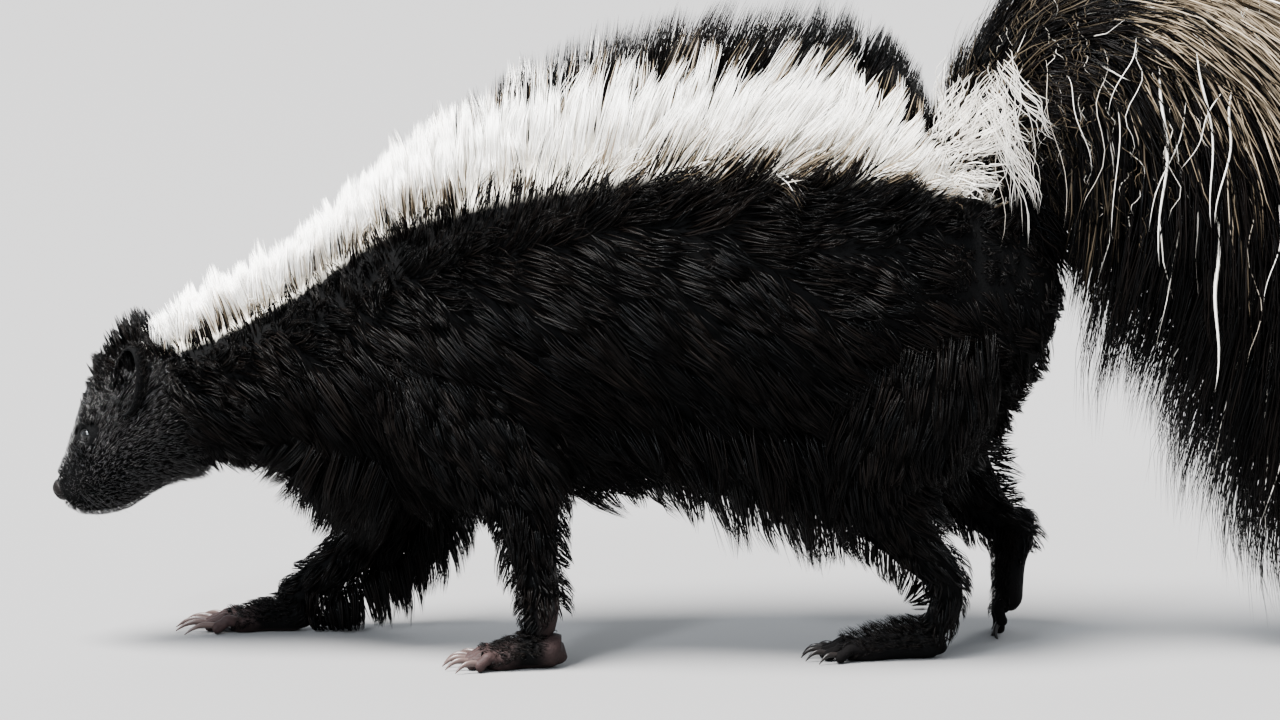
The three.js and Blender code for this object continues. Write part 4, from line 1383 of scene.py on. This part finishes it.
# %% Curtains under the tail's root and behind the rump
count = 1800
hang_roots = DOCK.point(random.uniform(0.0, 0.3, count), random.uniform(1.2, 5.08, count))
wisps("tail_curtain", hang_roots, random.uniform(18, 52, count), random.uniform(2, 22, count),
      random.uniform(-6, 6, count), random.uniform(0.7, 1.3, count), np.zeros(count), steps=5, curl=1.5)
count = 600
rump_roots = np.stack([random.uniform(155, 168, count), random.uniform(-17, 17, count),
                       random.uniform(176, 196, count)], 1)
wisps("rump_curtain", rump_roots, random.uniform(4, 28, count), random.uniform(6, 20, count),
      random.uniform(-5, 5, count), random.uniform(0.7, 1.3, count), np.zeros(count), steps=5, curl=1.0)

# %% [markdown]
# ## Eyes and lids
# The eyes are small, dark and wet. Each sits in a ring of lid that is a closed loop with a round edge,
# drawn on a sphere a little larger than the eye, so that it touches the eye all round like a real lid.

# %% The lid's measures
# Each ring has its share of the way from the opening out, and its distance from the eye's middle.
LID_SECTION = [
    (0.0, 3.43),
    (0.0, 3.55),
    (0.12, 3.68),
    (0.36, 3.76),
    (0.7, 3.66),
    (1.0, 3.4),
    (1.0, 2.9),
    (0.3, 3.15),
]
LID_SIDES = 56
LID_LONG = math.radians(50)
LID_TALL = math.radians(40)
LID_OUTER = math.radians(86)
ALMOND = 1.7
print("lid:", len(LID_SECTION), "rings of", LID_SIDES)


# %% Lids
def loop_faces(rings, sides):
    """Triangles between neighbouring rings, with the last ring joined to the first."""
    r, i = (grid.ravel() for grid in np.meshgrid(np.arange(rings), np.arange(sides), indexing="ij"))
    next_r = (r + 1) % rings
    next_i = (i + 1) % sides
    a = r * sides + i
    b = r * sides + next_i
    c = next_r * sides + i
    d = next_r * sides + next_i
    return np.concatenate([np.stack([a, c, b], 1), np.stack([b, c, d], 1)])


def lid(side):
    """A ring round the eye whose opening is an almond, and whose outer edge sinks into the skin."""
    out, back, up = eye_axes(side)
    around = np.arange(LID_SIDES) / LID_SIDES * 2 * math.pi
    c, s = np.cos(around), np.sin(around)
    edge = (np.abs(c / LID_LONG) ** ALMOND + np.abs(s / LID_TALL) ** ALMOND) ** (-1 / ALMOND)
    edge = edge * (1 - 0.06 * (s > 0))
    rings = []
    for share, radius in LID_SECTION:
        angle = edge + (LID_OUTER - edge) * share
        direction = (np.sin(angle) * c)[:, None] * back + (np.sin(angle) * s)[:, None] * up
        rings.append(EYE_AT[side] + (direction + np.cos(angle)[:, None] * out) * radius)
    points = np.concatenate(rings)
    return points, facing_out(points, loop_faces(len(LID_SECTION), LID_SIDES), np.zeros(3))


lids = joined("lids", [lid(-1), lid(1)])
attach(lids, "root")
print("lids:", len(lids.data.polygons), "triangles")

# %% Eyeballs
eyes = {}
for name, side in SIDE.items():
    bpy.ops.object.select_all(action="DESELECT")
    centre = (EYE_AT[side] + ORIGIN_SHIFT) * MM
    bpy.ops.mesh.primitive_uv_sphere_add(segments=48, ring_count=32, radius=EYE_RADIUS * MM, location=centre)
    eye = bpy.context.active_object
    eye.name = "eyeball_" + name
    bpy.ops.object.transform_apply(location=True, rotation=True, scale=True)
    bpy.ops.object.shade_smooth()
    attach(eye, "root")
    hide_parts("eye_" + name)
    eyes[name] = eye
print("eyeballs:", 2 * EYE_RADIUS, "mm across")

# %% [markdown]
# ## Whiskers
# Whiskers are single stiff hairs from the pads beside the nose. They point out and back, and sink a little
# under their own weight. A thin tube with a bevel would do as well, but blades as thick as they are wide
# are made already.

# %% Whiskers
WHISKER_WIDTH = 0.28
WHISKER_DROOP = np.array([4.0, 0, -3.0])
WHISKERS = 12


def whisker_paths(side):
    """Paths from one whisker pad, out to the side and back."""
    along_muzzle = random.uniform(6, 15, WHISKERS)
    across = side * (6.5 + 0.42 * along_muzzle)
    above = random.uniform(-10, -3, (WHISKERS, 1))
    roots = head_point(along_muzzle[:, None], above, across[:, None])
    ways = np.stack([random.uniform(3, 14, WHISKERS), side * random.uniform(9, 17, WHISKERS),
                     random.uniform(-9, -2, WHISKERS)], 1)
    u = np.linspace(0, 1, 7)[None, :, None]
    return roots[:, None] + ways[:, None] * u + WHISKER_DROOP * u**2


paths = np.concatenate([whisker_paths(side) for side in SIDE.values()])
number = len(paths)
width = np.full(number, WHISKER_WIDTH)
coats.append(blades("whiskers", paths, np.tile([0.0, 0.0, 1.0], (number, 1)), width, width,
                    np.tile([0.8, 0.1], (number, 1)), np.zeros(number), np.zeros(number)))

# %% [markdown]
# ## The nose pad
# The pad is a wet, bare bean with two nostrils and a groove between them. It could be sculpted by hand. A
# ball of many rings is quicker: the points of its front are moved in by a soft formula wherever there is a
# hollow.

# %% Nose
NOSE_RINGS = 48
NOSE_SIDES = 64
NOSE_DEEP = 4.3
NOSE_WIDE = 6.2
NOSE_HIGH = 4.9
NOSTRIL_DEPTH = 2.4
GROOVE_DEPTH = 0.6
NOSE_TURN = np.array(Matrix.Rotation(-HEAD_PITCH, 3, "Y"))


def nostrils(y, z):
    """1 in the middle of a nostril and 0 away from it: a round hole with a slit out to the side."""
    hole = np.exp(-(((np.abs(y) - 2.8) / 1.05) ** 2 + ((z + 0.4) / 0.95) ** 2))
    slit = np.exp(-(((np.abs(y) - 4.4) / 1.2) ** 2 + ((z + 1.1) / 0.55) ** 2))
    return np.maximum(hole, 0.8 * slit)


def nose_shape():
    """A flat ball with nostrils, a groove under its middle, and a soft bulge over each nostril."""
    polar = np.linspace(0.03, math.pi - 0.03, NOSE_RINGS)
    around = np.arange(NOSE_SIDES) / NOSE_SIDES * 2 * math.pi
    p, a = (grid.ravel() for grid in np.meshgrid(polar, around, indexing="ij"))
    x = -NOSE_DEEP * np.cos(p)
    y = NOSE_WIDE * np.sin(p) * np.cos(a)
    z = NOSE_HIGH * np.sin(p) * np.sin(a)
    front = x < -0.3
    groove = np.exp(-((y / 0.42) ** 2)) * np.clip((1.2 - z) / 2, 0, 1)
    hollow = front * (NOSTRIL_DEPTH * nostrils(y, z) + GROOVE_DEPTH * groove)
    bulge = front * 0.35 * np.exp(-((np.abs(y) - 2.6) ** 2) / 3) * (z > 0.4)
    wall = np.stack([x + hollow, y, z + bulge], 1) @ NOSE_TURN.T + NOSE_CENTRE
    points = np.concatenate([wall, [wall[:NOSE_SIDES].mean(0), wall[-NOSE_SIDES:].mean(0)]])
    return points, facing_out(points, ring_faces(NOSE_RINGS, NOSE_SIDES), NOSE_CENTRE)


nose = joined("nose_pad", [nose_shape()])
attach(nose, "root")
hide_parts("nose")
print("nose pad:", len(nose.data.polygons), "triangles")

# %% [markdown]
# The claws were drawn with their toes, so that each starts inside its toe's tip. The five of a foot make
# one piece.

# %% Claws
claw_pieces = {}
for foot_name, claws in claw_bodies.items():
    piece = joined(foot_name + "_claws", claws)
    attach(piece, "root")
    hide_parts(*[f"{foot_name}_claw_{i + 1}" for i in range(5)])
    claw_pieces[foot_name] = piece
print("claws:", sum(len(claws) for claws in claw_bodies.values()))

# %% [markdown]
# ## Shader arithmetic
# Materials are written as expressions. The class below wraps one socket, and adding, multiplying or
# subtracting such values adds the Math node that does it. Every other node is made by one method.


# %% Values that can be added and multiplied
class Value:
    """One output of a shader node, usable in arithmetic."""

    def __init__(self, material, socket):
        self.material = material
        self.socket = socket

    def combine(self, operation, first, second):
        return self.material.node("ShaderNodeMath", {"operation": operation}, {0: first, 1: second})

    def __add__(self, other):
        return self.combine("ADD", self, other)

    def __sub__(self, other):
        return self.combine("SUBTRACT", self, other)

    def __rsub__(self, other):
        return self.combine("SUBTRACT", other, self)

    def __mul__(self, other):
        return self.combine("MULTIPLY", self, other)

    __radd__ = __add__
    __rmul__ = __mul__


# %% A finish, built around one shader
class Finish:
    """A material that is built node by node around one Principled shader."""

    def __init__(self, name, **constants):
        self.material = bpy.data.materials.new(name)
        self.material.use_nodes = True
        self.tree = self.material.node_tree
        self.shader = self.tree.nodes["Principled BSDF"]
        for label, value in constants.items():
            self.shader.inputs[label.replace("_", " ")].default_value = value

    def node(self, kind, settings=None, inputs=None, output=0):
        """Any node, with its settings and inputs; an input is a plain value or a link."""
        made = self.tree.nodes.new(kind)
        for label, value in (settings or {}).items():
            if label == "stops":
                made.color_ramp.elements[0].position, made.color_ramp.elements[0].color = value[0]
                made.color_ramp.elements[1].position, made.color_ramp.elements[1].color = value[-1]
                for place, colour in value[1:-1]:
                    made.color_ramp.elements.new(place).color = colour
            else:
                setattr(made, label, value)
        for key, value in (inputs or {}).items():
            if isinstance(value, Value):
                self.tree.links.new(value.socket, made.inputs[key])
            else:
                made.inputs[key].default_value = value
        return Value(self, made.outputs[output])

    def attribute(self, name):
        """One of the marks that were stored on the points."""
        return self.node("ShaderNodeAttribute", {"attribute_name": name}, output="Fac")

    def noise(self, scale, detail=2.0):
        """A random pattern; a larger scale makes smaller spots."""
        place = self.node("ShaderNodeTexCoord", output="Object")
        return self.node("ShaderNodeTexNoise", inputs={"Vector": place, "Scale": scale, "Detail": detail})

    def mix(self, share, first, second):
        return self.node("ShaderNodeMix", {"data_type": "RGBA"}, {0: share, 6: first, 7: second}, output=2)

    def link(self, label, value):
        self.tree.links.new(value.socket, self.shader.inputs[label])

    def mottle(self, scale, first, second):
        """A base colour that wanders between two."""
        self.link("Base Color", self.mix(self.noise(scale), first, second))

    def bump(self, height, strength, distance):
        inputs = {"Height": height, "Strength": strength, "Distance": distance}
        self.link("Normal", self.node("ShaderNodeBump", inputs=inputs, output="Normal"))


# %% [markdown]
# ## Wet fur
# Each hair carries its mark, which is 0 for black, 1 for white and about a half for tan, and its own tone.
# One material mixes its colours by them, so no hair needs a picture. White hair is creamier towards the rump,
# which is its own colour, and darker and creamier towards the root, which is painted shade where the strands
# shade each other. The face's short hair has its own finish, because it shines far more.

# %% Colours of the fur
BLACK = (0.0012, 0.0013, 0.0014, 1)
BROWN_BLACK = (0.005, 0.0036, 0.003, 1)
TAN = (0.38, 0.29, 0.19, 1)
WHITE = (0.97, 0.96, 0.94, 1)
# Cream is the rump's own colour, and it is also painted shade at the roots of white hair.
CREAM_AND_ROOT_SHADE = (0.80, 0.70, 0.53, 1)
TAN_BAND = [(0.0, (0, 0, 0, 1)), (0.5, (1, 1, 1, 1)), (1.0, (0, 0, 0, 1))]
print("the fur's darkest and lightest red:", BLACK[0], WHITE[0])


# %% Fur
def soft_half(finish, share):
    """0 below about a half and 1 above it, with a soft step between."""
    return finish.node("ShaderNodeMapRange", {"interpolation_type": "SMOOTHSTEP"},
                       {"Value": share, "From Min": 0.35, "From Max": 0.75})


def fur_finish(name, gloss, smooth):
    """Wet hair: black or white by its mark, tan where the two meet, darker or paler strand by strand."""
    fur = Finish(name, Specular_IOR_Level=gloss)
    white = fur.attribute("white")
    tone = fur.attribute("tone")
    along = fur.attribute("along")
    dark = fur.mix(tone * tone, BLACK, BROWN_BLACK)
    back = fur.node("ShaderNodeSeparateXYZ", inputs={0: fur.node("ShaderNodeTexCoord", output="Object")})
    rear = fur.node("ShaderNodeMapRange", inputs={"Value": back, "From Min": -0.05, "From Max": 0.1})
    # Cream towards the rump is the white hair's own colour; cream towards the root is painted shade, where the
    # strands shade each other.
    light = fur.mix((1 - along) * 0.15 + tone * 0.1 + rear * 0.2, WHITE, CREAM_AND_ROOT_SHADE)
    between = fur.node("ShaderNodeValToRGB", {"stops": TAN_BAND}, {"Fac": white}, output="Color")
    pure = fur.mix(soft_half(fur, white), dark, light)
    fur.link("Base Color", fur.mix(between * 0.8, pure, TAN))
    fur.link("Roughness", smooth + white * 0.3 + tone * 0.1)
    return fur


body_fur = fur_finish("wet fur", 0.045, 0.2)
face_fur = fur_finish("wet face fur", 0.36, 0.1)
for coat in coats:
    on_face = coat.name.startswith("coat_head")
    coat.data.materials.append(face_fur.material if on_face else body_fur.material)
print("coat pieces with a finish:", len(coats))

# %% [markdown]
# ## Skin, eyes, nose and claws
# The skin is hardly seen. It is black under black hair and pale under white hair, so that a gap between
# hairs shows no wrong colour. Only the toes, the soles and one heel are bare, and there it is a wrinkled
# grey-brown pad.

# %% Skin
BLACK_SKIN = (0.0012, 0.0012, 0.0013, 1)
PALE_SKIN = (0.8, 0.76, 0.68, 1)
DARK_PAD = (0.012, 0.0076, 0.0075, 1)
LIGHT_PAD = (0.046, 0.028, 0.0265, 1)
hide = Finish("skin under the coat", Specular_IOR_Level=0.06)
bare_share = hide.attribute("bare")
covered = hide.mix(hide.attribute("white"), BLACK_SKIN, PALE_SKIN)
pad = hide.mix(hide.noise(420.0, 3.0), DARK_PAD, LIGHT_PAD)
hide.link("Base Color", hide.mix(bare_share, covered, pad))
hide.link("Roughness", 0.9 - bare_share * 0.45)
hide.bump(hide.noise(900.0, 2.0) + hide.noise(2600.0, 1.0) * 0.5, 0.5, 0.0005)
skin.data.materials.clear()
skin.data.materials.append(hide.material)
print("skin's finish:", len(hide.tree.nodes), "nodes")

# %% [markdown]
# The eyes are dark all over, iris and pupil alike, under a clear wet layer. The lids are as dark, and a
# fine bump breaks up their shine.

# %% Lids and eyes
DARK_LID = (0.0012, 0.001, 0.001, 1)
LIGHT_LID = (0.004, 0.003, 0.0028, 1)
DARK_EYE = (0.0008, 0.0006, 0.0006, 1)
rim = Finish("lid rim", Roughness=0.28, Specular_IOR_Level=0.4)
rim.mottle(700.0, DARK_LID, LIGHT_LID)
rim.bump(rim.noise(2200.0), 0.3, 0.0002)
lids.data.materials.append(rim.material)
dark_eye = Finish("dark eye", Roughness=0.05, Specular_IOR_Level=0.2, Coat_Weight=0.2, Coat_Roughness=0.02)
dark_eye.shader.inputs["Base Color"].default_value = DARK_EYE
for eye in eyes.values():
    eye.data.materials.append(dark_eye.material)
print("eyes with a finish:", len(eyes))

# %% [markdown]
# The nose's skin is made of tiny cells. A Voronoi pattern gives them, as a bump under a thin wet layer.

# %% Nose's finish
DARK_NOSE = (0.0012, 0.0009, 0.0009, 1)
LIGHT_NOSE = (0.0045, 0.003, 0.0026, 1)
NOSE_CELLS = 1900.0
wet_nose = Finish("wet nose", Roughness=0.45, Specular_IOR_Level=0.08, Coat_Weight=0.04, Coat_Roughness=0.25)
wet_nose.mottle(900.0, DARK_NOSE, LIGHT_NOSE)
nose_place = wet_nose.node("ShaderNodeTexCoord", output="Object")
cells = wet_nose.node("ShaderNodeTexVoronoi", inputs={"Vector": nose_place, "Scale": NOSE_CELLS},
                      output="Distance")
wet_nose.bump(cells, 0.5, 0.0003)
nose.data.materials.append(wet_nose.material)
print("cells of the nose:", round(1000 / NOSE_CELLS, 2), "mm apart")

# %% [markdown]
# The fore claws, worn by digging, are pale horn. The hind ones are dark.

# %% Claws' finish
horn = Finish("pale horn", Roughness=0.32, Specular_IOR_Level=0.3)
horn.mottle(260.0, (0.035, 0.021, 0.019, 1), (0.085, 0.057, 0.05, 1))
dark_horn = Finish("dark horn", Roughness=0.3, Specular_IOR_Level=0.2)
dark_horn.mottle(260.0, (0.002, 0.0016, 0.0015, 1), (0.012, 0.009, 0.008, 1))
for foot_name, piece in claw_pieces.items():
    piece.data.materials.append(horn.material if foot_name.startswith("fore") else dark_horn.material)
print("claw pieces with a finish:", len(claw_pieces))

# %% [markdown]
# ## Floor, light and camera
# A pale seamless floor and large soft lamps stand in for an overcast day. The floor runs far back, so that
# its far edge is never in the picture, and a pale blue sky lights the skunk from all sides.

# %% Floor
bpy.ops.object.select_all(action="DESELECT")
bpy.ops.mesh.primitive_plane_add(size=24, location=(0, 6, 0))
floor = bpy.context.active_object
floor.name = "floor"
ground = Finish("pale floor", Roughness=0.85)
ground.shader.inputs["Base Color"].default_value = (0.161, 0.158, 0.158, 1)
floor.data.materials.append(ground.material)
floor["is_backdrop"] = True
print("floor:", tuple(round(side, 1) for side in floor.dimensions[:2]), "m")

# %% Sky
SKY_STRENGTH = 1.5
world = bpy.data.worlds.new("overcast") if bpy.context.scene.world is None else bpy.context.scene.world
bpy.context.scene.world = world
world.use_nodes = True
world.node_tree.nodes["Background"].inputs["Color"].default_value = (0.86, 0.93, 1.0, 1)
world.node_tree.nodes["Background"].inputs["Strength"].default_value = SKY_STRENGTH
print("sky's strength:", SKY_STRENGTH)

# %% [markdown]
# The black fur shows only by its shine. A small lamp in front gives it glints, one behind gives it a pale
# rim, and a broad, soft sun from above gives the white hair its brightness.


# %% Lamps
def softbox(name, place, aim, size, power, colour):
    """A square lamp at a place in metres, turned to shine on a spot."""
    lamp = bpy.data.lights.new(name, "AREA")
    lamp.size = size
    lamp.energy = power
    lamp.color = colour
    stand = bpy.data.objects.new(name, lamp)
    bpy.context.collection.objects.link(stand)
    stand.location = place
    direction = Vector(aim) - Vector(place)
    stand.rotation_euler = direction.to_track_quat("-Z", "Y").to_euler()
    stand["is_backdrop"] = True


softbox("glint", (-1.1, -1.9, 1.3), (0, 0, 0.15), 0.3, 75, (0.86, 0.93, 1.0))
softbox("rim", (1.2, 1.5, 1.3), (0, 0, 0.15), 0.8, 30, (0.95, 0.98, 1.0))
sky = bpy.data.lights.new("sky", "SUN")
sky.energy = 29
sky.angle = math.radians(30)
sky.color = (1.0, 0.99, 0.97)
sky_stand = bpy.data.objects.new("sky", sky)
bpy.context.collection.objects.link(sky_stand)
sky_stand.rotation_euler = Vector((0.35, 0.25, -1.0)).to_track_quat("-Z", "Y").to_euler()
sky_stand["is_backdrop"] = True
print("lamps:", len(bpy.data.lights))

# %% [markdown]
# The camera looks at the skunk's left side from three metres, a little from above, so that about half a
# metre fills the width of the picture. A long lens from far away keeps the near legs from looking larger
# than the far ones.

# %% Camera
CAMERA_HEIGHT_ANGLE = math.radians(8.5)
CAMERA_DISTANCE = 3.0
PICTURE_WIDTH = 0.5376
PICTURE_MIDDLE = (np.array([0.0, 0.0, 122.3]) + ORIGIN_SHIFT) * MM
SENSOR_WIDTH = 36
camera = bpy.data.cameras.new("camera")
camera.sensor_width = SENSOR_WIDTH
camera.lens = SENSOR_WIDTH * CAMERA_DISTANCE / PICTURE_WIDTH
camera.clip_end = 50
viewer = bpy.data.objects.new("camera", camera)
bpy.context.collection.objects.link(viewer)
back_off = np.array([0, -math.cos(CAMERA_HEIGHT_ANGLE), math.sin(CAMERA_HEIGHT_ANGLE)]) * CAMERA_DISTANCE
viewer.location = PICTURE_MIDDLE + back_off
viewer.rotation_euler = (math.pi / 2 - CAMERA_HEIGHT_ANGLE, 0, 0)
bpy.context.scene.camera = viewer
print("lens in mm:", round(camera.lens))

# %% [markdown]
# ## The finished skunk
# The triangles of all the shown pieces are counted together.

# %% Finish
total = sum(len(p.vertices) - 2 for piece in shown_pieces() for p in piece.data.polygons if piece.type == "MESH")
print("triangles in all:", total)
